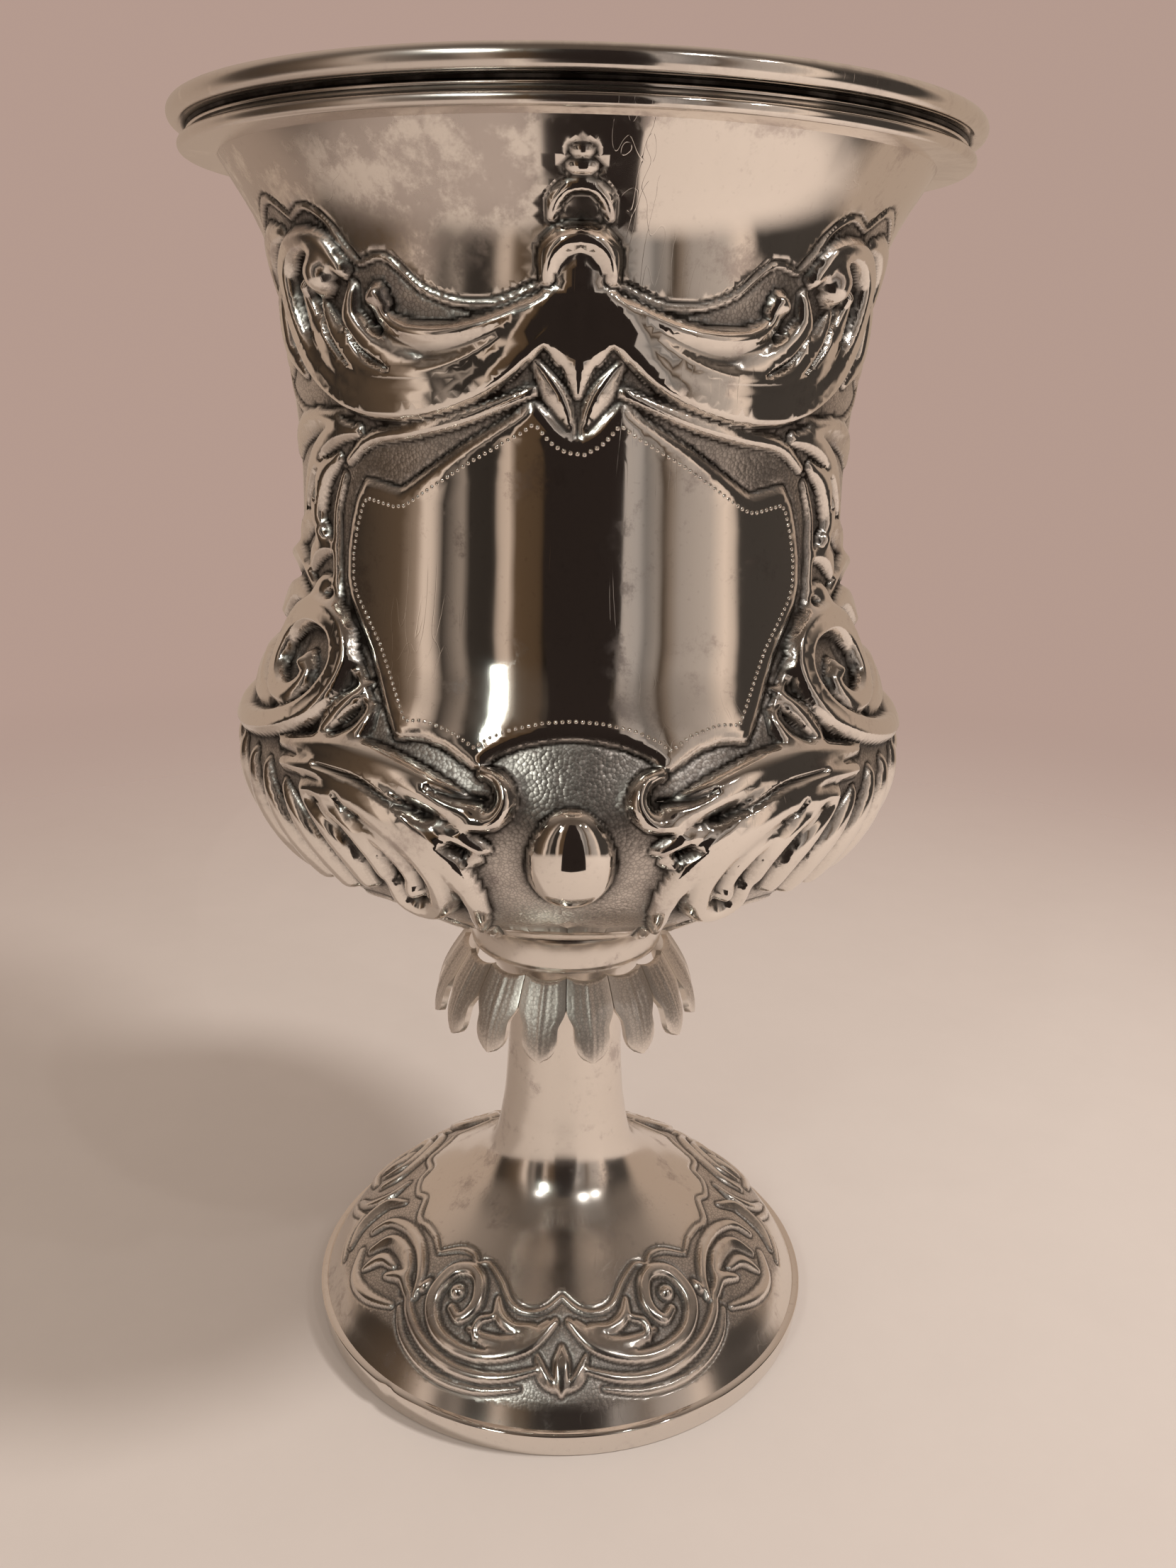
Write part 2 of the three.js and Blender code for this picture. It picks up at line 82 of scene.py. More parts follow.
# Outlines of the beaten walls, radius and level, from the top down
CUP_STATIONS = (
    (39.5, CUP_TOP), (34.9, 140.6), (32.75, 126.5), (32.05, 115.5), (33.3, 101.5),
    (37.5, 91.8), (40.2, 84.5), (35.6, 73.6), (23.5, 65), (13.4, CUP_BOTTOM),
)
FOOT_STATIONS = (
    (8.5, FOOT_TOP), (10.2, 22.8), (14, 19), (20, 15.1), (26, 11.5), (31, 7.5), (33.9, FOOT_BOTTOM),
)
STEM_STATIONS = ((11.7, STEM_TOP), (9.4, 51), (8.2, 46), (7.8, 41.5), (7.95, 36), (8.5, STEM_BOTTOM))
WALL = 0.9
CUP_FLOOR_RADIUS = 12
FOOT_EDGE_BAND = 1.1

# Fineness of the turned pieces and of the smooth insides, and the angle past which an edge is sharp
TURNED_SIDES = 160
BAND_SIDES = 256
LINING_SIDES = 128
SHARP_EDGE = 40
SHARP_LEAF_EDGE = 60


# The drawing. A place is (degrees from the middle of the front, millimetres down the wall), and on
# the foot the second number is the radius. Half widths are those at start, middle and end.
Stroke = namedtuple("Stroke", "section places half_widths height")
Boss = namedtuple("Boss", "place half_size height")
Crease = namedtuple("Crease", "half_width places")
Drawing = namedtuple("Drawing", "strokes bosses ground shield creases")

CUP_STROKES = (
    # Pendant under the rim: hood, fluted husk, side leaves and point
    Stroke("round", ((0, 6), (2.4, 6.4), (3.9, 7.6), (4.3, 8.8)), (0.6, 0.6, 0.4), 0.6),
    Stroke("round", ((0, 10.3), (2.9, 10.8), (4.7, 12.2), (5.1, 14.2)), (1.15, 1.15, 0.6), 1.7),
    Stroke("flutes", ((0, 12.6), (0, 18), (0, 24.4)), (2, 2.4, 0.4), 1.2),
    Stroke("vein", ((3.6, 15.2), (4.4, 18.4), (3.2, 21.6)), (0.6, 1.1, 0.3), 1.2),
    Stroke("leaf", ((1, 27.8), (3.4, 25), (7, 21.6)), (0.4, 1.1, 0.4), 0.9),
    # Contour of the upper work
    Stroke(
        "round",
        ((5.4, 14.4), (13, 16.2), (19, 16.4), (26, 15.2), (33, 12.3), (38.4, 12.8)),
        (0.25, 0.3, 0.25),
        0.34,
    ),
    Stroke(
        "round",
        ((38.6, 12.8), (41, 11.2), (44, 8.9), (48.5, 7.3), (54.4, 8.2)),
        (0.25, 0.32, 0.25),
        0.36,
    ),
    Stroke("round", ((54.4, 8), (60, 6), (65, 7), (70, 9), (73.6, 13), (75.4, 19)), (0.3, 0.4, 0.3), 0.45),
    Stroke("round", ((75.4, 20), (74, 24.6), (66, 27), (54, 27.1), (45, 26.8)), (0.3, 0.36, 0.3), 0.42),
    # Swag: outer scroll, fluted body, lining leaves
    Stroke(
        "band",
        (
            (6, 19.4), (15, 23.4), (26, 25.6), (37, 26), (46, 24.6), (53.4, 21.6),
            (58, 17.4), (58.9, 13.6), (56, 11.2), (50.5, 10.2), (45, 10.9), (41.8, 13.2),
        ),
        (0.8, 1.5, 0.9),
        2.1,
    ),
    Stroke(
        "groove",
        ((4.8, 16), (12, 20), (22, 22.9), (33, 23.6), (43, 22.2), (50, 19.2), (53.4, 15.6)),
        (1.1, 2.2, 1),
        1.9,
    ),
    Stroke("leaf", ((6, 16), (14, 18.6), (24, 19.8), (32, 18.8), (36.4, 16)), (0.6, 1.7, 0.6), 1.7),
    Stroke("vein", ((28, 21.6), (36, 20.4), (41, 17.6), (40.4, 15)), (0.7, 1.5, 0.7), 1.7),
    Stroke("vein", ((37, 22), (44.4, 19.6), (48.6, 16.4)), (0.6, 1.2, 0.5), 1.6),
    Stroke("round", ((36.4, 16), (34.4, 15.2), (33.2, 16.4)), (0.7, 0.8, 0.6), 1.6),
    # Outer lobes of the swag
    Stroke("vein", ((58.5, 9.4), (64, 9.6), (68.6, 12), (69.6, 15.4)), (0.6, 1.4, 0.7), 1.2),
    Stroke("vein", ((61, 12.6), (66, 16.4), (66.2, 20.4), (60.5, 23.2)), (0.7, 1.5, 0.6), 1.3),
    Stroke("leaf", ((62, 21.6), (68, 21.4), (72, 23.6)), (0.5, 1.2, 0.4), 0.9),
    # Fillet above the shield and the branch beside it
    Stroke("round", ((7.6, 24.2), (20, 26.9), (30, 28.3), (40, 29.4), (47, 31.8)), (0.5, 0.75, 0.5), 1),
    Stroke("band", ((43, 28.6), (52, 29.6), (60, 32.6), (66.6, 37.4)), (0.6, 1.2, 0.6), 1.4),
    Stroke("leaf", ((45, 28.4), (56, 27.9), (66, 29.4), (75, 32.4)), (0.5, 1.4, 0.5), 1.2),
    Stroke("vein", ((50, 31.6), (56, 34), (58.6, 38), (56.5, 40)), (0.6, 1.5, 0.9), 1.5),
    Stroke(
        "round",
        ((48.8, 33.4), (51.4, 37), (51.6, 41.4), (50.4, 46), (40.5, 53), (35, 57)),
        (0.5, 0.7, 0.5),
        0.8,
    ),
    Stroke("vein", ((52.6, 41), (58, 41.4), (62.6, 44)), (0.6, 1.4, 0.6), 1.4),
    Stroke("vein", ((52, 45), (56, 45.6), (60.5, 48.4)), (0.6, 1.3, 0.6), 1.3),
    Stroke("leaf", ((60, 38), (67, 39.6), (74, 43)), (0.5, 1.3, 0.5), 1.1),
    # Belly volute and the bands that run round the side
    Stroke(
        "band",
        (
            (90, 63.8), (76, 63.9), (64, 62.9), (54, 60.8), (46.5, 57.6), (43.8, 53.6), (46, 50), (52, 48.4),
            (59.5, 49), (64.8, 51.8), (65.4, 55.6), (61.4, 58.2), (55.8, 58), (52.8, 55.6), (54.4, 53.4),
        ),
        (1.2, 1.9, 0.8),
        2.4,
    ),
    Stroke("groove", ((64, 60), (72, 59.6), (80, 57.4), (90, 57)), (0.9, 2, 1.6), 1.6),
    Stroke("band", ((62, 47.6), (70, 47.2), (80, 50.4), (90, 51.4)), (0.7, 1.5, 1.2), 1.7),
    Stroke("leaf", ((60, 46.2), (70, 43.6), (80, 44.6), (90, 45.4)), (0.7, 1.6, 1), 1.5),
    # Sprigs between the volute and the shield
    Stroke("vein", ((44, 60.4), (40.6, 57.6), (36.6, 54.6)), (0.9, 1.2, 0.4), 1.3),
    Stroke("vein", ((40, 61.2), (35.6, 59.4), (34.4, 56.8)), (0.8, 1, 0.4), 1.2),
    # Upper leaf of the lower work, curling over beside the oval boss
    Stroke("round", ((54, 63.4), (42, 62.2), (31, 62.6), (22, 64.2), (14.6, 66.2)), (0.6, 2, 1.5), 1.7),
    Stroke("round", ((15, 67), (11.2, 66.6), (9.4, 64.8), (10.4, 62.8), (13.4, 62)), (0.9, 1.05, 0.6), 1.9),
    Stroke("round", ((21, 67.6), (16.6, 68.4), (12.6, 69.8)), (0.6, 1.05, 0.7), 1.5),
    # Great lower leaf, the leaf that curls inside it, and its lobes
    Stroke(
        "band",
        ((51, 65.2), (40, 64.6), (30, 65.8), (22, 68.8), (17.2, 72.4), (15.4, 77), (16, 81.6), (18, 86)),
        (0.8, 1.5, 0.6),
        2.1,
    ),
    Stroke(
        "round",
        (
            (45, 66.8), (34, 66.7), (27, 68.6), (22.4, 71.4), (20.6, 75),
            (21.8, 78.8), (25.8, 80.4), (29.4, 79), (29.6, 76.4),
        ),
        (0.8, 1.7, 1.1),
        2,
    ),
    Stroke("round", ((33, 68.8), (28.6, 70.4), (25.8, 72.8), (25.2, 75.4)), (0.6, 1.2, 1), 1.8),
    Stroke("round", ((40.4, 67.6), (34.2, 69.6), (31.2, 72.4), (30.6, 75)), (0.7, 1.5, 1.2), 1.7),
    Stroke("round", ((45, 67.8), (40, 70.4), (37, 73.6), (36, 77.4)), (0.7, 1.8, 1.4), 1.7),
    Stroke("round", ((50.4, 67.6), (47, 71), (44, 75), (43, 79.2)), (0.7, 2, 1.6), 1.6),
    # Acanthus fan at the side
    Stroke("round", ((56.6, 66.4), (54.6, 71), (52.2, 75.4), (51.6, 80)), (0.8, 2.1, 1.6), 1.6),
    Stroke("round", ((63, 66.4), (63.2, 72), (61.6, 77), (62, 81.6)), (0.9, 2.4, 1.7), 1.6),
    Stroke("round", ((71, 66), (72.6, 72), (72.4, 78), (73.8, 82.4)), (0.9, 2.6, 1.8), 1.6),
    Stroke("round", ((80, 65.6), (83, 72), (84.6, 78), (86.6, 82.4)), (0.9, 2.6, 1.8), 1.6),
    # Lines below the belly
    Stroke("round", ((16, 86), (19, 91), (25, 98), (33, 104)), (0.5, 0.9, 0.4), 0.6),
    Stroke(
        "round",
        ((30, 84.4), (26.4, 88), (27.4, 91.8), (34, 94.6), (46, 95.2), (57, 94.6)),
        (0.4, 0.6, 0.4),
        0.45,
    ),
    Stroke("round", ((30, 84.4), (37, 82.6), (46, 84.6), (52, 88.4), (57, 94.6)), (0.4, 0.6, 0.4), 0.45),
    Stroke("round", ((57, 94.6), (70, 94.2), (80, 92), (90, 91.4)), (0.4, 0.6, 0.4), 0.45),
)
CUP_BOSSES = (
    Boss((0, 3.1), (0.9, 0.55), 0.3),
    Boss((0, 4.5), (1.3, 0.65), 0.42),
    Boss((47.4, 13.4), (2.1, 2.4), 2.5),
    Boss((52.2, 14.6), (0.9, 1.1), 1.8),
    Boss((25.4, 76.2), (1.3, 1.5), 2.2),
    Boss((14.2, 71), (0.9, 1.1), 1),
    Boss((10.5, 63.2), (0.8, 0.8), 1.6),
    Boss((0, 71.3), (4.5, 6.1), 2.7),
    Boss((56.6, 39.6), (1.1, 1.1), 1.6),
    Boss((54.8, 54.6), (1, 1), 2.2),
)
# Half of the plain shield's edge, from its top notch round to the middle of its foot
SHIELD_EDGE = (
    (0, 28.6), (2.6, 27.8), (5, 26.2), (7.6, 25.4), (11, 26.8), (20, 29.7), (30, 33.3), (33.4, 34.4),
    (38, 34), (42, 33.7), (44.4, 35.4), (46.2, 38), (47.4, 41), (47.3, 44), (45.6, 46.2), (38, 51.2),
    (34.6, 54), (28.6, 59.4), (24, 59), (20, 59.6), (16.6, 60.8), (14.2, 61.6), (12, 60), (8.4, 58.9),
    (4, 58.2), (0, 58),
)

# Creases driven in between the lobes of the leaves
CUP_CREASES = (
    Crease(0.32, ((28.8, 71.4), (28, 72.8), (28.2, 74))),
    Crease(0.42, ((34.6, 71), (33.4, 73.4), (33.2, 75.6))),
    Crease(0.42, ((41.6, 71), (39.8, 74), (39.4, 77.8))),
    Crease(0.4, ((49.8, 72), (47.8, 75.6), (47.2, 79.4))),
    Crease(0.36, ((57.8, 72.4), (56.8, 76.4), (56.8, 80.4))),
    Crease(0.36, ((67.6, 72.6), (67.2, 77.2), (67.8, 81.6))),
    Crease(0.36, ((77.8, 72.6), (79, 77.6), (80.4, 81.8))),
    Crease(0.3, ((36.8, 66.4), (35, 67.8))),
    Crease(0.32, ((42, 64.2), (33, 64.6), (26.4, 66), (20.4, 67))),
    Crease(0.5, ((20.6, 64.2), (16.4, 64.8), (12.6, 64.6))),
    Crease(0.34, ((18.6, 69.6), (15.4, 70.6))),
    Crease(0.34, ((33, 22.4), (38.6, 20.8), (42.4, 18.2))),
    Crease(0.34, ((42, 22), (46.4, 19.6), (48.8, 17))),
    Crease(0.3, ((36.6, 18.4), (34.6, 18.9))),
    Crease(0.34, ((49.6, 12.6), (50.6, 15.4), (49.4, 17.2))),
    Crease(0.3, ((58.6, 33.4), (57.8, 36.4))),
    Crease(0.3, ((57.4, 56.4), (60.6, 54.6), (59, 52))),
    Crease(0.3, ((40.2, 59.2), (37.6, 57.4))),
)

FOOT_STROKES = (
    # Bud between the front scrolls
    Stroke("vein", ((0, 27.6), (0, 29.4), (0, 31.6)), (0.5, 1.2, 0.4), 1.1),
    Stroke("leaf", ((1, 31.4), (4, 30.4), (6.4, 28.4)), (0.3, 0.8, 0.3), 0.8),
    # Contour round the top of the work
    Stroke(
        "round",
        ((0, 22.2), (5, 23.7), (10, 24.2), (16, 23.6), (22, 21.4), (29, 20), (33, 20.4)),
        (0.25, 0.36, 0.25),
        0.4,
    ),
    Stroke("round", ((33, 20.4), (37, 19.7), (43, 20), (50, 21.7)), (0.25, 0.36, 0.25), 0.4),
    Stroke(
        "round",
        ((50, 21.7), (56, 20.8), (63, 20.7), (70, 21.2), (80, 19.8), (85, 20.7), (90, 20.9)),
        (0.25, 0.36, 0.25),
        0.4,
    ),
    # Front scroll: ring, swag and inner lobes
    Stroke(
        "band",
        (
            (2, 25), (8, 27.6), (18, 29.2), (28, 29.3), (36, 28.1), (40.6, 25.6), (39.8, 22.8),
            (34, 21.4), (28.6, 22.3), (26.6, 24.6), (29.4, 26.6), (33.4, 26),
        ),
        (0.5, 1, 0.6),
        1.25,
    ),
    Stroke("groove", ((4, 25.2), (12, 27.4), (20, 27.8), (26, 27.2)), (0.5, 1, 0.4), 0.95),
    Stroke("vein", ((8, 25.6), (14, 26), (18.6, 25), (20.6, 23.4)), (0.4, 0.9, 0.4), 0.9),
    Stroke("round", ((20.4, 25.4), (24, 26.4), (23.4, 28)), (0.4, 0.6, 0.4), 1.1),
    # Bands below the scroll
    Stroke(
        "round",
        ((6, 29.7), (15, 30.8), (25, 31.1), (36, 30.2), (45, 28.4), (49.4, 26.8)),
        (0.4, 0.75, 0.5),
        0.75,
    ),
    Stroke("round", ((10, 31.4), (20, 32.1), (32, 32), (43, 30.6), (48.4, 28.8)), (0.25, 0.5, 0.3), 0.5),
    # Shell scroll at the side
    Stroke(
        "round",
        ((46, 27), (49, 25), (55, 23.2), (63, 22.5), (72, 23.2), (78, 25), (79, 27.2)),
        (0.4, 0.8, 0.5),
        0.85,
    ),
    Stroke("leaf", ((50, 27.4), (56, 25.2), (63, 24.6), (70, 25.6), (72, 28)), (0.4, 1.1, 0.5), 0.95),
    Stroke("vein", ((48, 27.4), (54, 26.4), (59.4, 27.6)), (0.4, 0.9, 0.5), 1.1),
    Stroke("vein", ((60, 26.4), (66, 27.2), (68, 29.4)), (0.4, 0.9, 0.4), 1),
    Stroke("band", ((51, 29.2), (60, 30.4), (68, 30.6), (75, 29)), (0.4, 0.9, 0.5), 0.8),
    Stroke("leaf", ((84, 22.6), (87.6, 25), (85.4, 28.4), (80, 30.4)), (0.4, 1, 0.4), 1),
    Stroke("round", ((78, 31.4), (84, 30.6), (90, 28.8)), (0.3, 0.5, 0.4), 0.6),
)
FOOT_BOSSES = (
    Boss((34.4, 24.2), (1.1, 1.1), 1.2),
    Boss((45.4, 25.4), (0.6, 1), 0.9),
    Boss((60.5, 24.2), (0.45, 0.45), 1),
)
# Edges of the ground that is worked over with a small round punch
CUP_GROUND = (
    (0, 12), (5.4, 14.4), (13, 16.2), (19, 16.4), (26, 15.2), (33, 12.3), (41, 11.2), (48.5, 7.3),
    (54.4, 8.2), (60, 6), (70, 9), (75.4, 19), (74, 24.6), (76, 32), (80, 43), (90, 45), (90, 84),
    (60, 84), (36, 83), (22, 86), (0, 83),
)
FOOT_GROUND = (
    (0, 22.6), (5, 23.9), (10, 24.4), (16, 23.8), (22, 21.6), (29, 20.2), (43, 20.2), (50, 21.7), (63, 20.9),
    (80, 20), (90, 21), (90, 29), (76, 31.4), (46, 30.6), (32, 32.4), (16, 32.4), (0, 32.2),
)

CUP_DRAWING = Drawing(CUP_STROKES, CUP_BOSSES, CUP_GROUND, SHIELD_EDGE, CUP_CREASES)
FOOT_DRAWING = Drawing(FOOT_STROKES, FOOT_BOSSES, FOOT_GROUND, None, ())

# Widths and depths of what is drawn round the strokes, in millimetres
CHASED_LINE_DEPTH = 0.22
CHASED_LINE_WIDTH = 0.19
CHASED_LINE_REACH = 4 * CHASED_LINE_WIDTH
# Share of its height that a stroke keeps where it is thinnest
THIN_HEIGHT = 0.35
SHIELD_RAISE = 0.75
SHIELD_EDGE_SLOPE = 0.7
SHIELD_LINE_INSET = 1.5
SHIELD_LINE_DEPTH = 0.1
SHIELD_LINE_WIDTH = 0.16
CREASE_DEPTH = 0.7
# Ground is what stands less than this over the wall; the work fades out near the wall's ends
GROUND_BELOW = 0.35
END_FADE = 1.5
# Oxide with painted shade in the hollows: a place is fully dark when the work round it stands this much
# higher
HOLLOW_DEPTH = 0.8
LINE_DARKNESS = 0.85
SHIELD_CLEANNESS = 0.8
# Share of the relief that shows as a soft reverse inside, and the most that it may be
SOFT_REVERSE_SHARE = 0.5
SOFT_REVERSE_MOST = 0.45
# The foot's work stands lower and is less dark than the cup's
FOOT_RELIEF = 0.85
FOOT_DARKNESS = 0.75

# Cells of a quarter's grid; softening reaches so many cells each way
CUP_GRID = {"columns": 192, "rows": 384}
FOOT_GRID = {"columns": 256, "rows": 160}
COARSEST_CELL = 16
LINING_STEP = 8
SOFTEN = (1, 1)
SOFT_FORM = (4, 4)
SOFT_LINING = (6, 6)
# Steps in which a wall's outline is drawn between two stations
WALL_STEPS = 60


def smooth_line(places, per_span=8, before=None, after=None):
    """A centripetal Catmull-Rom line through the places, aimed at a place before or after them."""
    places = np.array(places, float)
    if len(places) < 3:
        return places
    first = 2 * places[0] - places[1] if before is None else before
    last = 2 * places[-1] - places[-2] if after is None else after
    ends = np.vstack([first, places, last])
    pieces = []
    for p0, p1, p2, p3 in zip(ends, ends[1:], ends[2:], ends[3:]):
        # Times at the places, by the square roots of their distances, with 0 at the first
        t1 = math.sqrt(np.linalg.norm(p1 - p0))
        t2 = t1 + math.sqrt(np.linalg.norm(p2 - p1))
        t3 = t2 + math.sqrt(np.linalg.norm(p3 - p2))
        t = np.linspace(t1, t2, per_span, endpoint=False)[:, None]
        a1 = (t1 - t) / t1 * p0 + t / t1 * p1
        a2 = (t2 - t) / (t2 - t1) * p1 + (t - t1) / (t2 - t1) * p2
        a3 = (t3 - t) / (t3 - t2) * p2 + (t - t2) / (t3 - t2) * p3
        b1 = (t2 - t) / t2 * a1 + t / t2 * a2
        b2 = (t3 - t) / (t3 - t1) * a2 + (t - t1) / (t3 - t1) * a3
        pieces.append((t2 - t) / (t2 - t1) * b1 + (t - t1) / (t2 - t1) * b2)
    return np.vstack([*pieces, places[-1:]])


class Wall:
    """The outline of a beaten wall, with the length measured down it."""

    def __init__(self, stations, before=None):
        self.line = smooth_line(stations, WALL_STEPS, before)
        steps = np.linalg.norm(np.diff(self.line, axis=0), axis=1)
        self.down = np.concatenate([[0], np.cumsum(steps)])
        self.length = self.down[-1]
        along = np.gradient(self.line, self.down, axis=0)
        self.outward = np.stack([-along[:, 1], along[:, 0]], axis=1)

    def at(self, down):
        """Radius, level and outward direction at distances down the wall."""
        return [np.interp(down, self.down, column) for column in (*self.line.T, *self.outward.T)]

    def down_at_radius(self, radius):
        """Distance down a wall that widens all the way."""
        return np.interp(radius, self.line[:, 0], self.down)


def nearest(line, angle, down, mm_per_degree):
    """Distance to a line of places in millimetres, the share along it, and the side of it."""
    best = np.full(angle.shape, np.inf)
    share = np.zeros(angle.shape)
    side = np.ones(angle.shape)
    spans = len(line) - 1
    for i, (start, end) in enumerate(zip(line, line[1:])):
        to_x, to_y = (start[0] - angle) * mm_per_degree, start[1] - down
        span_x, span_y = (end[0] - start[0]) * mm_per_degree, end[1] - start[1]
        t = -(to_x * span_x + to_y * span_y) / np.maximum(span_x**2 + span_y**2, 1e-9)
        t = np.clip(t, 0, 1)
        away = np.hypot(to_x + span_x * t, to_y + span_y * t)
        nearer = away < best
        best = np.where(nearer, away, best)
        share = np.where(nearer, (i + t) / spans, share)
        side = np.where(nearer, np.sign(span_x * to_y - span_y * to_x), side)
    return best, share, side


def inside(outline, angle, down):
    """True where a place lies within a closed outline."""
    hit = np.zeros(angle.shape, bool)
    for (x1, y1), (x0, y0) in zip(outline, outline[-1:] + outline[:-1]):
        if y1 != y0:
            crossing = x1 + (x0 - x1) * (down - y1) / (y0 - y1)
            hit ^= ((y1 > down) != (y0 > down)) & (angle < crossing)
    return hit


def section(kind, across):
    """Height over a stroke's width, where across runs from -1 at one edge to 1 at the other.

    A round stroke is half a rod, a band a flat strip with raised edges, a vein a lobe with a fine
    line down its middle, a groove or flutes a lobe with two or three hollows, and a leaf a slope
    that rises to a rolled edge.
    """
    dome = np.sqrt(np.clip(1 - across**2, 0, 1))
    if kind == "round":
        return dome
    if kind == "band":
        return np.clip(1.5 * dome, 0, 1) * (0.8 + 0.2 * np.abs(across) ** 1.5)
    if kind == "vein":
        return dome**0.9 * (1 - 0.24 * np.exp(-((across / 0.2) ** 2)))
    if kind in ("groove", "flutes"):
        waves = 2 if kind == "groove" else 3
        return dome**0.8 * (0.84 - 0.16 * np.cos(math.pi * (across + 1) * waves))
    rise = 0.12 + 0.88 * np.clip((across + 1) / 1.5, 0, 1) ** 1.4
    fall = np.sqrt(np.clip(1 - (np.clip(across - 0.5, 0, 1) / 0.5) ** 2, 0, 1))
    return np.where(across < 0.5, rise, fall) * np.clip(4 * dome, 0, 1)


def blurred(field, reach):
    """The field averaged three times over a number of cells each way, mirrored at its sides."""
    for axis, cells in enumerate(reach):
        for _ in range(3):
            width = [(0, 0), (0, 0)]
            width[axis] = (cells + 1, cells)
            padded = np.pad(field, width, mode="symmetric").cumsum(axis=axis)
            count = field.shape[axis]
            upper = np.take(padded, range(2 * cells + 1, 2 * cells + 1 + count), axis=axis)
            lower = np.take(padded, range(count), axis=axis)
            field = (upper - lower) / (2 * cells + 1)
    return field


def chased_line(outside_by):
    """The line that the tool leaves beside a raised edge, as a depth."""
    line = np.exp(-(((outside_by - CHASED_LINE_WIDTH) / CHASED_LINE_WIDTH) ** 2))
    return CHASED_LINE_DEPTH * line * (outside_by > -CHASED_LINE_WIDTH)


class Relief:
    """A quarter of a wall as a grid of places, with what is driven up from it and down into it."""

    def __init__(self, wall, grid, by_radius):
        self.wall, self.by_radius = wall, by_radius
        angles = np.linspace(0, QUARTER, grid["columns"] + 1)
        self.angle, self.down = np.meshgrid(angles, np.linspace(0, wall.length, grid["rows"] + 1))
        self.mm_per_degree = wall.at(self.down)[0] * DEGREE
        self.height, self.line_depth, self.plain, self.crease = np.zeros((4, *self.angle.shape))

    def placed(self, places):
        """The places, with their second number as millimetres down the wall."""
        if self.by_radius:
            return [(angle, self.wall.down_at_radius(radius)) for angle, radius in places]
        return list(places)

    def near(self, line, reach):
        """True where a place may lie within reach of a line."""
        aside = reach / self.mm_per_degree
        level = (self.down > line[:, 1].min() - reach) & (self.down < line[:, 1].max() + reach)
        return level & (self.angle > line[:, 0].min() - aside) & (self.angle < line[:, 0].max() + aside)

    def raise_shield(self, outline):
        """A plain raised field with a shallow line for the dots inside its edge."""
        edge = self.placed(outline)
        away, _, _ = nearest(edge, self.angle, self.down, self.mm_per_degree)
        within = np.where(inside(edge, np.maximum(self.angle, 1e-3), self.down), away, -away)
        rise = np.clip(within / SHIELD_EDGE_SLOPE + 0.5, 0, 1)
        inner_line = np.exp(-(((within - SHIELD_LINE_INSET) / SHIELD_LINE_WIDTH) ** 2))
        self.plain = np.clip(2 * within, 0, 1)
        self.line_depth = chased_line(-within - SHIELD_EDGE_SLOPE / 2)
        self.height = SHIELD_RAISE * rise**2 * (3 - 2 * rise)
        self.height -= SHIELD_LINE_DEPTH * inner_line * self.plain

    def raise_stroke(self, stroke):
        """A rib along a line, with the tool's line beside it."""
        line = smooth_line(self.placed(stroke.places))
        widest = max(stroke.half_widths)
        near = self.near(line, widest + CHASED_LINE_REACH)
        away, share, side = nearest(line, self.angle[near], self.down[near], self.mm_per_degree[near])
        end = np.where(share < 0.5, stroke.half_widths[0], stroke.half_widths[2])
        half = end + (stroke.half_widths[1] - end) * np.sin(math.pi * share)
        across = np.clip(side * away / half, -1, 1)
        crest = stroke.height * (THIN_HEIGHT + (1 - THIN_HEIGHT) * half / widest)
        raised = np.where(away < half, crest * section(stroke.section, across), 0)
        self.height[near] = np.maximum(self.height[near], raised)
        self.line_depth[near] = np.maximum(self.line_depth[near], chased_line(away - half))

    def raise_boss(self, boss):
        """An oval dome."""
        ((angle, down),) = self.placed([boss.place])
        half_width, half_height = boss.half_size
        aside, below = (self.angle - angle) * self.mm_per_degree, self.down - down
        out = np.hypot(aside / half_width, below / half_height)
        self.height = np.maximum(self.height, boss.height * np.sqrt(np.clip(1 - out**2, 0, 1)))
        self.line_depth = np.maximum(self.line_depth, chased_line((out - 1) * min(boss.half_size)))

    def drive_crease(self, crease):
        """A narrow dark valley along a line."""
        line = smooth_line(self.placed(crease.places))
        near = self.near(line, 3 * crease.half_width)
        away, share, _ = nearest(line, self.angle[near], self.down[near], self.mm_per_degree[near])
        half = crease.half_width * (0.5 + 0.5 * np.sin(math.pi * share))
        self.crease[near] = np.maximum(self.crease[near], np.exp(-((away / half) ** 2)))

    def finished(self, ground, relief, darkness):
        """Height over the smooth wall, its soft form, the oxide and painted shade, and the stippled share."""
        low = np.clip(1 - self.height / GROUND_BELOW, 0, 1)
        line_depth = self.line_depth * low
        fade = np.clip(np.minimum(self.down, self.wall.length - self.down) / END_FADE, 0, 1)
        height = (relief * blurred(self.height, SOFTEN) - line_depth - CREASE_DEPTH * self.crease) * fade
        soft = blurred(height, SOFT_FORM)
        # Darkness of hollows, chased lines and creases: oxide, with painted shade where the work round a
        # place stands higher
        hollow = np.clip((soft - height) / HOLLOW_DEPTH, 0, 1)
        dark = np.maximum(LINE_DARKNESS * line_depth / CHASED_LINE_DEPTH + hollow, self.crease)
        recess = darkness * np.clip(dark, 0, 1) * fade * (1 - SHIELD_CLEANNESS * self.plain)
        worked = inside(self.placed(ground), self.angle, self.down) & (self.plain < 0.5)
        return {"height": height, "soft": soft, "recess": recess, "ground": blurred(worked * low, SOFTEN)}


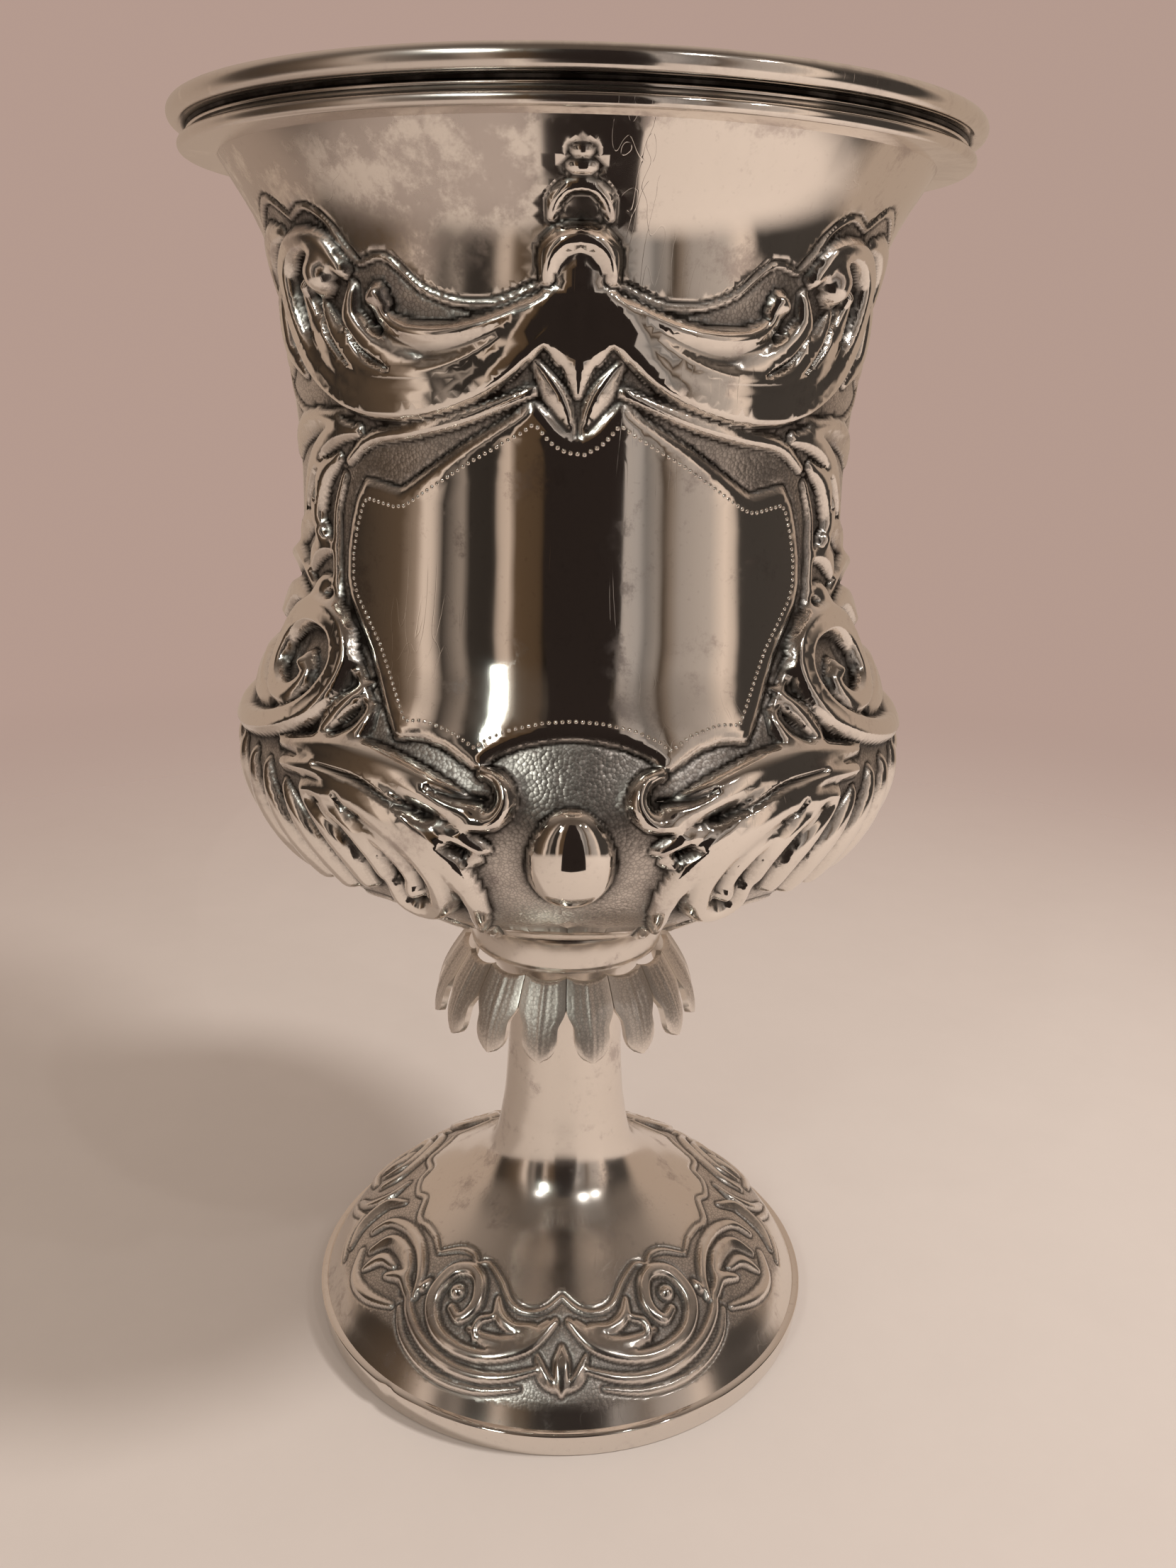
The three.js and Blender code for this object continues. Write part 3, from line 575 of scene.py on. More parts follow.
def carve(wall, grid, drawing, by_radius=False, relief=1.0, darkness=1.0):
    """Works a drawing into a quarter of the wall."""
    work = Relief(wall, grid, by_radius)
    if drawing.shield:
        work.raise_shield(drawing.shield)
    for stroke in drawing.strokes:
        work.raise_stroke(stroke)
    for boss in drawing.bosses:
        work.raise_boss(boss)
    for crease in drawing.creases:
        work.drive_crease(crease)
    return work.finished(drawing.ground, relief, darkness)


def skin_errors(points):
    """How far each point of a grid stands off the long side that it halves, or a finer one beside it."""
    rows, columns = (n - 1 for n in points.shape[:2])
    error = np.zeros(points.shape[:2])

    def bend(middle, one, other):
        return np.linalg.norm(middle - (one + other) / 2, axis=-1)

    size = 2
    while size <= COARSEST_CELL:
        half = size // 2
        corner = points[::size, ::size]
        # The middles of a cell's sides
        on_rows = error[::size, half::size]
        np.maximum(on_rows, bend(points[::size, half::size], corner[:, :-1], corner[:, 1:]), out=on_rows)
        on_columns = error[half::size, ::size]
        np.maximum(on_columns, bend(points[half::size, ::size], corner[:-1], corner[1:]), out=on_columns)
        # The middle of the cell, on a diagonal that leans the other way in every second cell
        centre = error[half::size, half::size]
        for beside in (on_rows[:-1], on_rows[1:], on_columns[:, :-1], on_columns[:, 1:]):
            np.maximum(centre, beside, out=centre)
        leans_right = np.add.outer(np.arange(rows // size), np.arange(columns // size)) % 2 == 0
        middle = points[half::size, half::size]
        falling = bend(middle, corner[:-1, :-1], corner[1:, 1:])
        rising = bend(middle, corner[1:, :-1], corner[:-1, 1:])
        np.maximum(centre, np.where(leans_right, falling, rising), out=centre)
        # What the cell needs, its larger neighbours need too
        ends = error[::size, ::size]
        for share, places in (
            (np.where(leans_right, centre, 0), (ends[:-1, 1:], ends[1:, :-1])),
            (np.where(leans_right, 0, centre), (ends[:-1, :-1], ends[1:, 1:])),
        ):
            for place in places:
                np.maximum(place, share, out=place)
        size *= 2
    return error


def cut_skin(points, tolerance):
    """Cuts a grid of points into few triangles where it is plain and many where it is carved.

    A triangle is halved where the middle of its long side stands off that side by more than the
    tolerance. The corners come back as (column, row) pairs.
    """
    rows, columns = (n - 1 for n in points.shape[:2])
    error = skin_errors(points)
    cell = COARSEST_CELL
    i, j = (axis.ravel() for axis in np.meshgrid(np.arange(0, columns, cell), np.arange(0, rows, cell)))
    right = ((i + j) // cell % 2 == 0)[:, None]
    corners = {(di, dj): np.stack([i + di * cell, j + dj * cell], axis=1) for di in (0, 1) for dj in (0, 1)}
    a = np.where(right, corners[0, 0], corners[1, 0])
    b = np.where(right, corners[1, 1], corners[0, 1])
    c = np.where(right, corners[1, 0], corners[1, 1])
    d = np.where(right, corners[0, 1], corners[0, 0])
    open_triangles = np.concatenate([np.stack([b, a, c], axis=1), np.stack([a, b, d], axis=1)])
    done = []
    while len(open_triangles):
        a, b, c = open_triangles.transpose(1, 0, 2)
        whole = ((a + b) % 2 == 0).all(axis=1)
        middle = (a + b) // 2
        split = whole & (error[middle[:, 1], middle[:, 0]] > tolerance)
        done.append(open_triangles[~split])
        a, b, c, middle = a[split], b[split], c[split], middle[split]
        open_triangles = np.concatenate([np.stack([c, a, middle], axis=1), np.stack([b, c, middle], axis=1)])
    return np.concatenate(done)


def give_share(mesh, name, values):
    """Gives each point of a mesh a share from 0 to 1, for its finish to read."""
    attribute = mesh.attributes.new(name, "FLOAT", "POINT")
    attribute.data.foreach_set("value", values.astype(np.float32))


class Skin:
    """A mesh being sewn: points with their normals and shares, and faces that point outwards."""

    def __init__(self):
        self.points, self.normals, self.faces = [], [], []
        self.shares = {"recess": [], "ground": []}
        self.count = 0

    def add(self, points, normals=None, **shares):
        """Adds points and gives the number of the first."""
        points = np.asarray(points, float).reshape(-1, 3)
        self.points.append(points)
        self.normals.append(np.zeros_like(points) if normals is None else normals.reshape(-1, 3))
        for name, values in self.shares.items():
            values.append(np.broadcast_to(shares.get(name, 0.0), len(points)))
        self.count += len(points)
        return self.count - len(points)

    def ring(self, radius, level, sides):
        """Adds a level ring of points and gives their angles and numbers."""
        turn = 2 * math.pi * np.arange(sides) / sides
        points = np.stack([radius * np.sin(turn), -radius * np.cos(turn), np.full(sides, level)], axis=1)
        first = self.add(points)
        return list(zip(360 * np.arange(sides) / sides, range(first, first + sides)))

    def sew(self, upper, lower):
        """Sews a strip between two rings of (angle, number); upper is above as seen from outside."""

        def angle_of(ring, k):
            return ring[k][0] if k < len(ring) else 360

        def number_of(ring, k):
            return ring[k % len(ring)][1]

        faces = []
        i = j = 0
        while i < len(upper) or j < len(lower):
            upper_turn = angle_of(upper, i + 1) if i < len(upper) else math.inf
            lower_turn = angle_of(lower, j + 1) if j < len(lower) else math.inf
            if upper_turn < lower_turn:
                faces.append((number_of(upper, i), number_of(lower, j), number_of(upper, i + 1)))
                i += 1
            else:
                faces.append((number_of(upper, i), number_of(lower, j), number_of(lower, j + 1)))
                j += 1
        self.faces.append(np.array(faces))

    def cap(self, ring, level, faces_up):
        """Closes a ring with a fan of faces round its middle."""
        middle = self.add([(0, 0, level)])
        numbers = np.array([number for _, number in ring])
        following = np.roll(numbers, -1)
        pair = (numbers, following) if faces_up else (following, numbers)
        self.faces.append(np.stack([*pair, np.full(len(ring), middle)], axis=1))

    def mesh(self, name):
        """The sewn mesh, with its shares as attributes and its own normals."""
        mesh = bpy.data.meshes.new(name)
        mesh.from_pydata(np.concatenate(self.points) * MM, [], np.concatenate(self.faces))
        mesh.shade_smooth()
        for share, values in self.shares.items():
            give_share(mesh, share, np.concatenate(values))
        mesh.normals_split_custom_set_from_vertices(np.concatenate(self.normals))
        return mesh


def all_round(field):
    """A quarter's field mirrored to the whole turn, without a doubled last column."""
    half = np.concatenate([field[:, :-1], field[:, :0:-1]], axis=1)
    return np.concatenate([half, half], axis=1)


def surface(wall, offset):
    """Points and outward normals of a full-turn grid that stands off the wall by an offset."""
    rows, columns = offset.shape
    radius, level, out_radius, out_level = (v[:, None] for v in wall.at(np.linspace(0, wall.length, rows)))
    turn = 2 * math.pi * np.arange(columns) / columns
    reach = radius + out_radius * offset
    points = np.stack([reach * np.sin(turn), -reach * np.cos(turn), level + out_level * offset], axis=-1)
    down = np.gradient(points, axis=0)
    round_it = np.roll(points, -1, axis=1) - np.roll(points, 1, axis=1)
    normals = np.cross(down, round_it)
    return points, normals / np.linalg.norm(normals, axis=-1, keepdims=True)


def sew_carved_wall(skin, wall, field, tolerance):
    """Sews the carved outside into the skin and gives its top and bottom rings."""
    rows, columns = (n - 1 for n in field["height"].shape)
    points, normals = surface(wall, all_round(field["height"]))
    triangles = cut_skin(points[:, : columns + 1], tolerance)
    column, row = triangles[..., 0], triangles[..., 1]
    keys = []
    for quarter in range(4):
        mirrored = quarter % 2
        turned = (quarter + 1) * columns - column if mirrored else quarter * columns + column
        key = row * 4 * columns + turned % (4 * columns)
        keys.append(key if mirrored else key[:, ::-1])
    used, numbers = np.unique(np.concatenate(keys), return_inverse=True)
    shares = {name: all_round(field[name]).ravel()[used] for name in ("recess", "ground")}
    first = skin.add(points.reshape(-1, 3)[used], normals.reshape(-1, 3)[used], **shares)
    skin.faces.append(first + numbers.reshape(-1, 3))
    used_row, used_column = np.divmod(used, 4 * columns)
    angle = QUARTER * used_column / columns
    return [
        [(angle[k], first + k) for k in np.flatnonzero(used_row == level)] for level in (0, rows)
    ]


def sew_lining(skin, wall, field, top_ring, top_level):
    """Sews the soft reverse of the relief as a lining, and gives its lowest ring."""
    soft = all_round(blurred(field["soft"], SOFT_LINING))[::LINING_STEP, ::LINING_STEP]
    fade = np.ones(len(soft))
    fade[[0, -1]] = 0
    offset = np.minimum(SOFT_REVERSE_SHARE * soft, SOFT_REVERSE_MOST) * fade[:, None] - WALL
    points, normals = surface(wall, offset)
    points[0, :, 2] = top_level
    rows, columns = offset.shape
    first = skin.add(points[:-1], -normals[:-1])
    number = first + np.arange((rows - 1) * columns).reshape(rows - 1, columns)
    right = np.roll(number, -1, axis=1)
    quads = np.stack([number[:-1], right[:-1], right[1:], number[1:]], axis=-1).reshape(-1, 4)
    skin.faces += [quads[:, [0, 1, 2]], quads[:, [0, 2, 3]]]
    angles = 360 * np.arange(columns) / columns
    skin.sew(list(zip(angles, number[0])), top_ring)
    return list(zip(angles, number[-1]))


def arc(centre, radius, start, end, steps):
    """Places on an arc of a section, between two bearings in degrees."""
    bearings = np.linspace(start, end, steps + 1) * DEGREE
    return [(centre[0] + radius * math.cos(b), centre[1] + radius * math.sin(b)) for b in bearings]


def turned(name, outline, sides, shaped=None, dark=()):
    """A ring turned from a closed outline of (radius, level) places, listed anticlockwise.

    The places numbered in dark are darkened: oxide with painted shade.
    """
    outline = np.array(outline)
    turn = 2 * math.pi * np.arange(sides) / sides
    radius = np.repeat(outline[:, :1], sides, axis=1)
    level = np.repeat(outline[:, 1:], sides, axis=1)
    if shaped:
        radius = shaped(radius, level, turn[None, :])
    points = np.stack([radius * np.sin(turn), -radius * np.cos(turn), level], axis=-1).reshape(-1, 3)
    number = np.arange(len(points)).reshape(radius.shape)
    above, right = np.roll(number, -1, axis=0), np.roll(number, -1, axis=1)
    above_right = np.roll(above, -1, axis=1)
    mesh = bpy.data.meshes.new(name)
    faces = np.stack([number, right, above_right, above], axis=-1).reshape(-1, 4)
    mesh.from_pydata(points * MM, [], faces)
    mesh.shade_smooth()
    mesh.set_sharp_from_angle(angle=SHARP_EDGE * DEGREE)
    recess = np.repeat(np.isin(np.arange(len(outline)), list(dark)), sides)
    give_share(mesh, "recess", recess)
    return mesh


def place(name, mesh, material, slot, *nodes):
    """Puts a finished piece in the scene, rides it on the body and hides what it stands for."""
    piece = bpy.data.objects.new(name, mesh)
    bpy.context.scene.collection.objects.link(piece)
    piece.data.materials.clear()
    piece.data.materials.append(material)
    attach(piece, BODY)
    if nodes:
        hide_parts(*nodes)


def cup_mesh(tolerance):
    """The cup: chased outside, soft reverse inside, flat floor and bottom."""
    wall = Wall(CUP_STATIONS)
    field = carve(wall, CUP_GRID, CUP_DRAWING)
    skin = Skin()
    top, bottom = sew_carved_wall(skin, wall, field, tolerance)
    lining = sew_lining(skin, wall, field, top, CUP_TOP)
    floor = skin.ring(CUP_FLOOR_RADIUS, CUP_BOTTOM + WALL, LINING_SIDES)
    skin.sew(floor, lining)
    skin.cap(floor, CUP_BOTTOM + WALL, True)
    skin.cap(bottom, CUP_BOTTOM, False)
    return skin.mesh("chased_cup")


def foot_mesh(tolerance):
    """The domed foot, open at its middle and underneath, with a flat edge that meets the band."""
    wall = Wall(FOOT_STATIONS, before=STEM_STATIONS[-2])
    field = carve(wall, FOOT_GRID, FOOT_DRAWING, True, FOOT_RELIEF, FOOT_DARKNESS)
    skin = Skin()
    top, bottom = sew_carved_wall(skin, wall, field, tolerance)
    lining = sew_lining(skin, wall, field, top, FOOT_TOP)
    edge = skin.ring(FOOT_STATIONS[-1][0] - FOOT_EDGE_BAND, FOOT_BOTTOM, LINING_SIDES)
    skin.sew(edge, lining)
    skin.sew(bottom, edge)
    return skin.mesh("chased_foot")


def rim_mesh():
    """Bead, fillet between dark creases and rolled lip, with the cup's mouth flaring inside them."""
    neck, bead_half, fillet_half, lip_half = 42.35, 0.62, 0.22, 1.1
    bead = arc((42.9, RIM_BOTTOM + bead_half), bead_half, -88, 75, 9)
    crease = [(42.6, RIM_BOTTOM + 1.3), (neck, RIM_BOTTOM + 1.5)]
    fillet = arc((neck, RIM_BOTTOM + 1.85), fillet_half, -60, 60, 5)
    cove = [(neck, RIM_BOTTOM + 2.2), (42.5, RIM_BOTTOM + 2.45)]
    lip = arc((43.3, RIM_TOP - lip_half), lip_half, -104, 185, 20)
    mouth = [(41.4, RIM_TOP - 2), (40, RIM_TOP - 3.4)]
    outline = [(CUP_STATIONS[0][0] - WALL, RIM_BOTTOM), *bead, *crease, *fillet, *cove, *lip, *mouth]
    bead_end = len(bead)
    fillet_end = bead_end + len(crease) + len(fillet)
    # The crease under the fillet and the cove over it are darkened: oxide with painted shade
    dark = [bead_end, bead_end + 1, *range(fillet_end, fillet_end + len(cove) + 1)]
    return turned("turned_rim", outline, TURNED_SIDES, dark=dark)


def collar_mesh():
    """A plain ring that widens towards the cup."""
    flare = ((12.45, 0), (12.65, 0.2), (12.75, 1), (12.95, 2.4), (13.35, 3.7), (13.9, 4.7))
    outside = [(radius, COLLAR_BOTTOM + over) for radius, over in flare]
    edge = [(14.2, COLLAR_TOP - 0.25), (14.05, COLLAR_TOP)]
    outline = [(11.3, COLLAR_BOTTOM), *outside, *edge, (12.8, COLLAR_TOP)]
    return turned("turned_collar", outline, TURNED_SIDES)


def stem_mesh():
    """A tube that flows into the foot."""
    outside = smooth_line(STEM_STATIONS, 6, after=FOOT_STATIONS[1])
    inside_line = [(radius - WALL, level) for radius, level in outside]
    return turned("turned_stem", [*outside[::-1], *inside_line], TURNED_SIDES)


def foot_band_mesh():
    """The flat upright band under the foot, with the nick at its left front."""
    inner, outer, corner = 31.8, 34.2, 0.25
    nick_at, nick_width, nick_depth, nick_from = -40 * DEGREE, 1.6 * DEGREE, 0.35, 1.2
    outline = [
        (inner, BAND_BOTTOM),
        (outer, BAND_BOTTOM),
        *arc((outer, BAND_BOTTOM + corner), corner, -80, 0, 4),
        (34.62, BAND_BOTTOM + 1.6),
        *arc((34.55, BAND_TOP - 0.4), corner, 0, 60, 4),
        (34.3, BAND_TOP),
        (inner, BAND_TOP),
    ]

    def nicked(radius, level, turn):
        off = (turn - nick_at + math.pi) % (2 * math.pi) - math.pi
        near_top = np.clip((level - BAND_BOTTOM - nick_from) / nick_from, 0, 1) * (radius > inner)
        return radius - nick_depth * np.exp(-((off / nick_width) ** 2)) * near_top

    return turned("turned_band", outline, BAND_SIDES, nicked)


def petal_mesh():
    """One leaf of the calyx: a thick sheet with a rib and side veins, round at its tip."""
    root, tip = (13.6, 54.4), (17.5, 45.2)
    thick, crown_height, rib_height, vein_height = 0.8, 0.4, 0.16, 0.03
    # The leaves are joined at the root, and part from these shares of their length on
    joined_share, free_half, part_from, part_over, shoulder = 0.98, 2.25, 0.36, 0.26, 0.74
    steps_across, steps_down = 24, 30
    across, down = np.meshgrid(np.linspace(-1, 1, steps_across + 1), np.linspace(0, 1, steps_down + 1))
    past = np.clip((down - shoulder) / (1 - shoulder), 0, 1)
    flare = root[0] + (tip[0] - root[0]) * np.sin(down * math.pi / 2)
    apart = np.clip((down - part_from) / part_over, 0, 1)
    apart = apart**2 * (3 - 2 * apart)
    joined_half = joined_share * math.pi / settings().work.leaves * flare
    half = (joined_half + (free_half - joined_half) * apart) * np.sqrt(1 - 0.96 * past**2)
    level = root[1] - (root[1] - tip[1]) * (down - 0.06 * across**2 * (1 - past))
    crown = crown_height * (1 - np.abs(across) ** 2.6)
    rib = rib_height * np.exp(-((across / 0.12) ** 2)) * (1 - down**3)
    veins = vein_height * np.cos(6 * math.pi * across) * (1 - across**4) * (1 - down**4)
    radius = flare + crown + rib + veins

    def bent(radius):
        turn = across * half / radius
        return np.stack([radius * np.sin(turn), -radius * np.cos(turn), level], axis=-1)

    outer, inner = bent(radius), bent(radius - thick - rib - veins)
    points = np.concatenate([outer.reshape(-1, 3), inner.reshape(-1, 3)])
    number = np.arange(outer[..., 0].size).reshape(down.shape)
    back = number + number.size

    def quads(grid):
        return np.stack([grid[:-1, :-1], grid[1:, :-1], grid[1:, 1:], grid[:-1, 1:]], axis=-1).reshape(-1, 4)

    edge = np.concatenate([number[:, 0], number[-1, 1:], number[-2::-1, -1], number[0, -2:0:-1]])
    following = np.roll(edge, -1)
    sides = np.stack([edge, edge + number.size, following + number.size, following], axis=1)
    mesh = bpy.data.meshes.new("calyx_leaf")
    mesh.from_pydata(points * MM, [], np.concatenate([quads(number), quads(back)[:, ::-1], sides]))
    mesh.shade_smooth()
    mesh.set_sharp_from_angle(angle=SHARP_LEAF_EDGE * DEGREE)
    punched = 0.7 * (1 - across**4) * (1 - down**6)
    ground = np.concatenate([punched.ravel(), np.zeros(number.size)])
    give_share(mesh, "ground", ground)
    return mesh


def node(tree, kind, inputs=None, **options):
    """Adds a node; an input is given a value, or the socket that feeds it."""
    made = tree.nodes.new(kind)
    for name, value in options.items():
        setattr(made, name, value)
    for key, value in (inputs or {}).items():
        if isinstance(value, bpy.types.NodeSocket):
            tree.links.new(value, made.inputs[key])
        else:
            made.inputs[key].default_value = value
    return made


def calc(tree, operation, *values, clamp=False):
    """One arithmetic node, by its result."""
    made = node(tree, "ShaderNodeMath", dict(enumerate(values)), operation=operation, use_clamp=clamp)
    return made.outputs[0]


def mixed(tree, share, one, other):
    """One colour mixed with another; 6, 7 and 2 are a Mix node's colour sockets."""
    made = node(tree, "ShaderNodeMix", {"Factor": share, 6: one, 7: other}, data_type="RGBA")
    return made.outputs[2]


def between(tree, value, low, high):
    """0 below the low value and 1 over the high one, with a soft passage between."""
    made = node(tree, "ShaderNodeMapRange", {"Value": value, "From Min": low, "From Max": high})
    made.interpolation_type = "SMOOTHSTEP"
    return made.outputs[0]


def object_place(tree):
    """Where a point is on the object."""
    return node(tree, "ShaderNodeTexCoord").outputs["Object"]


def noise(tree, vector, scale, detail=4.0, roughness=0.6):
    """An even noise from 0 to 1."""
    inputs = {"Vector": vector, "Scale": scale, "Detail": detail, "Roughness": roughness}
    return node(tree, "ShaderNodeTexNoise", inputs).outputs[0]


def new_tree(name, kind, inputs, outputs):
    """A node tree with its named sockets, and its ends."""
    tree = bpy.data.node_groups.new(name, kind)
    for in_out, sockets in (("INPUT", inputs), ("OUTPUT", outputs)):
        for label, (socket_kind, *default) in sockets.items():
            socket = tree.interface.new_socket(label, in_out=in_out, socket_type=socket_kind)
            if default:
                socket.default_value = default[0]
    start = tree.nodes.new("NodeGroupInput")
    end = tree.nodes.new("NodeGroupOutput")
    return tree, start.outputs, end.inputs


def run_nodes(name, mesh, tree, values):
    """Lets a Geometry Nodes tree build on a mesh and gives the result as a plain mesh."""
    maker = bpy.data.objects.new(name + "_maker", mesh)
    bpy.context.scene.collection.objects.link(maker)
    modifier = maker.modifiers.new("build", "NODES")
    modifier.node_group = tree
    for item in tree.interface.items_tree:
        if item.in_out == "INPUT" and item.name in values:
            modifier[item.identifier] = values[item.name]
    result = bpy.data.meshes.new_from_object(maker.evaluated_get(bpy.context.evaluated_depsgraph_get()))
    maker.modifiers.remove(modifier)
    bpy.data.objects.remove(maker)
    result.name = name
    return result


def leaves_round_tree():
    """Sets one leaf round the axis as often as asked."""
    tree, given, result = new_tree(
        "Leaves round a stem",
        "GeometryNodeTree",
        {
            "Geometry": ("NodeSocketGeometry",),
            "Leaves": ("NodeSocketInt", 16),
            "First Turn": ("NodeSocketFloat", 0.0),
            "Finish": ("NodeSocketMaterial",),
        },
        {"Geometry": ("NodeSocketGeometry",)},
    )
    points = node(tree, "GeometryNodePoints", {"Count": given["Leaves"]})
    index = node(tree, "GeometryNodeInputIndex").outputs[0]
    pitch = calc(tree, "DIVIDE", 2 * math.pi, given["Leaves"])
    turn = calc(tree, "MULTIPLY_ADD", index, pitch, given["First Turn"])
    spin = node(tree, "ShaderNodeCombineXYZ", {"Z": turn})
    placed = node(
        tree,
        "GeometryNodeInstanceOnPoints",
        {"Points": points.outputs[0], "Instance": given["Geometry"], "Rotation": spin.outputs[0]},
    )
    real = node(tree, "GeometryNodeRealizeInstances", {"Geometry": placed.outputs[0]})
    finish = node(tree, "GeometryNodeSetMaterial", {"Geometry": real.outputs[0], "Material": given["Finish"]})
    tree.links.new(finish.outputs[0], result["Geometry"])
    return tree


def dots_along_tree():
    """Sets round dots at an even pitch along lines."""
    tree, given, result = new_tree(
        "Dots along a line",
        "GeometryNodeTree",
        {
            "Geometry": ("NodeSocketGeometry",),
            "Pitch": ("NodeSocketFloat", 0.0007),
            "Radius": ("NodeSocketFloat", 0.0002),
            "Finish": ("NodeSocketMaterial",),
        },
        {"Geometry": ("NodeSocketGeometry",)},
    )
    line = node(tree, "GeometryNodeMeshToCurve", {"Mesh": given["Geometry"]})
    spacing = {"Curve": line.outputs[0], "Length": given["Pitch"]}
    even = node(tree, "GeometryNodeResampleCurve", spacing, mode="LENGTH")
    dot = node(tree, "GeometryNodeMeshIcoSphere", {"Radius": given["Radius"], "Subdivisions": 2})
    spots = {"Points": even.outputs[0], "Instance": dot.outputs["Mesh"]}
    placed = node(tree, "GeometryNodeInstanceOnPoints", spots)
    real = node(tree, "GeometryNodeRealizeInstances", {"Geometry": placed.outputs[0]})
    smooth = node(tree, "GeometryNodeSetShadeSmooth", {"Geometry": real.outputs[0]})
    dressed = {"Geometry": smooth.outputs[0], "Material": given["Finish"]}
    finish = node(tree, "GeometryNodeSetMaterial", dressed)
    tree.links.new(finish.outputs[0], result["Geometry"])
    return tree


def shield_line_mesh():
    """The line of the dots inside the edges of the front and back shields, lying on the cup."""
    # The line is laid in short steps, and kept where no other edge is nearer than its inset
    dense_step, clear_share = 0.3, 0.97
    wall = Wall(CUP_STATIONS)
    loop = np.array([*SHIELD_EDGE, *((-angle, down) for angle, down in SHIELD_EDGE[-2:0:-1])], float)
    mm_per_degree = wall.at(loop[:, 1].mean())[0] * DEGREE
    flat = loop * (mm_per_degree, 1)
    dense = []
    for start, end in zip(flat, np.roll(flat, -1, axis=0)):
        length = np.linalg.norm(end - start)
        steps = max(1, int(length / dense_step))
        along = (end - start) / length
        inward = np.array([-along[1], along[0]])
        dense += [start + (end - start) * i / steps + inward * SHIELD_LINE_INSET for i in range(steps)]
    dense = np.array(dense)
    away, _, _ = nearest(np.vstack([flat, flat[:1]]), dense[:, 0], dense[:, 1], 1.0)
    kept = dense[away > clear_share * SHIELD_LINE_INSET]
    radius, level, out_radius, out_level = wall.at(kept[:, 1])
    height = SHIELD_RAISE - SHIELD_LINE_DEPTH
    reach, level = radius + out_radius * height, level + out_level * height
    points, edges = [], []
    for turn in (0, math.pi):
        angle = kept[:, 0] / mm_per_degree * DEGREE + turn
        first = len(points)
        points += list(np.stack([reach * np.sin(angle), -reach * np.cos(angle), level], axis=1) * MM)
        edges += [(first + i, first + (i + 1) % len(kept)) for i in range(len(kept))]
    mesh = bpy.data.meshes.new("shield_line")
    mesh.from_pydata(points, edges, [])
    return mesh


def aged_silver_and_shade_group():
    """Colour and roughness of silver that has been handled, polished and left to oxidise, with painted shade
    in its recesses.
    """
    tree, given, result = new_tree(
        "Aged silver and painted shade",
        "ShaderNodeTree",
        {
            "Silver": ("NodeSocketColor", (0.86, 0.82, 0.76, 1)),
            "Tarnish": ("NodeSocketColor", (0.42, 0.36, 0.34, 1)),
            "Oxide and Shade": ("NodeSocketColor", (0.02, 0.016, 0.013, 1)),
            "Recess": ("NodeSocketFloat", 0.0),
            "Ground": ("NodeSocketFloat", 0.0),
            "Tarnish Share": ("NodeSocketFloat", 0.3),
            "Polish": ("NodeSocketFloat", 0.12),
            "Punch Pitch": ("NodeSocketFloat", 0.7),
        },
        {"Color": ("NodeSocketColor",), "Roughness": ("NodeSocketFloat",)},
    )
    spot = object_place(tree)
    axes = node(tree, "ShaderNodeSeparateXYZ", {"Vector": spot}).outputs
    # Grey film, thickest at the left under the rim, with ragged edges
    high = between(tree, axes["Z"], 0.125, 0.149)
    dull = calc(tree, "MULTIPLY", high, between(tree, axes["X"], 0.004, -0.014))
    likely = calc(tree, "MULTIPLY", dull, 0.17)
    likely = calc(tree, "MULTIPLY_ADD", between(tree, axes["Z"], 0.1475, 0.1495), 0.08, likely)
    blotches = between(tree, calc(tree, "ADD", noise(tree, spot, 150, 10, 0.72), likely), 0.54, 0.68)
    patches = calc(tree, "MULTIPLY", blotches, given["Tarnish Share"], clamp=True)
    film = calc(tree, "MULTIPLY", between(tree, noise(tree, spot, 9, 3), 0.35, 0.75), 0.16)
    dust = calc(tree, "MULTIPLY", between(tree, noise(tree, spot, 1500, 2), 0.6, 0.8), 0.25)
    colour = given["Silver"]
    for share in (film, patches, dust, calc(tree, "MULTIPLY", given["Ground"], 0.3)):
        colour = mixed(tree, share, colour, given["Tarnish"])
    # Oxide between the punched dots, and in the recesses oxide with painted shade
    punched = {"Vector": spot, "Scale": calc(tree, "DIVIDE", 1000, given["Punch Pitch"])}
    cells = node(tree, "ShaderNodeTexVoronoi", punched, feature="DISTANCE_TO_EDGE")
    seams = calc(tree, "SUBTRACT", 1, between(tree, cells.outputs[0], 0.02, 0.2))
    gaps = calc(tree, "MULTIPLY", seams, given["Ground"])
    colour = mixed(tree, calc(tree, "MULTIPLY", gaps, 0.35), colour, given["Oxide and Shade"])
    worn = calc(tree, "MULTIPLY_ADD", noise(tree, spot, 260, 3), 0.5, 0.72)
    dark = calc(tree, "MULTIPLY", given["Recess"], worn, clamp=True)
    colour = mixed(tree, dark, colour, given["Oxide and Shade"])
    smears = calc(tree, "MULTIPLY", between(tree, noise(tree, spot, 30, 5, 0.7), 0.35, 0.8), 0.05)
    rough = calc(tree, "ADD", given["Polish"], smears)
    for share, duller in ((dull, 0.12), (patches, 0.18), (given["Ground"], 0.22)):
        rough = calc(tree, "MULTIPLY_ADD", share, duller, rough)
    rough = calc(tree, "MULTIPLY_ADD", dark, 0.35, rough, clamp=True)
    tree.links.new(colour, result["Color"])
    tree.links.new(rough, result["Roughness"])
    return tree


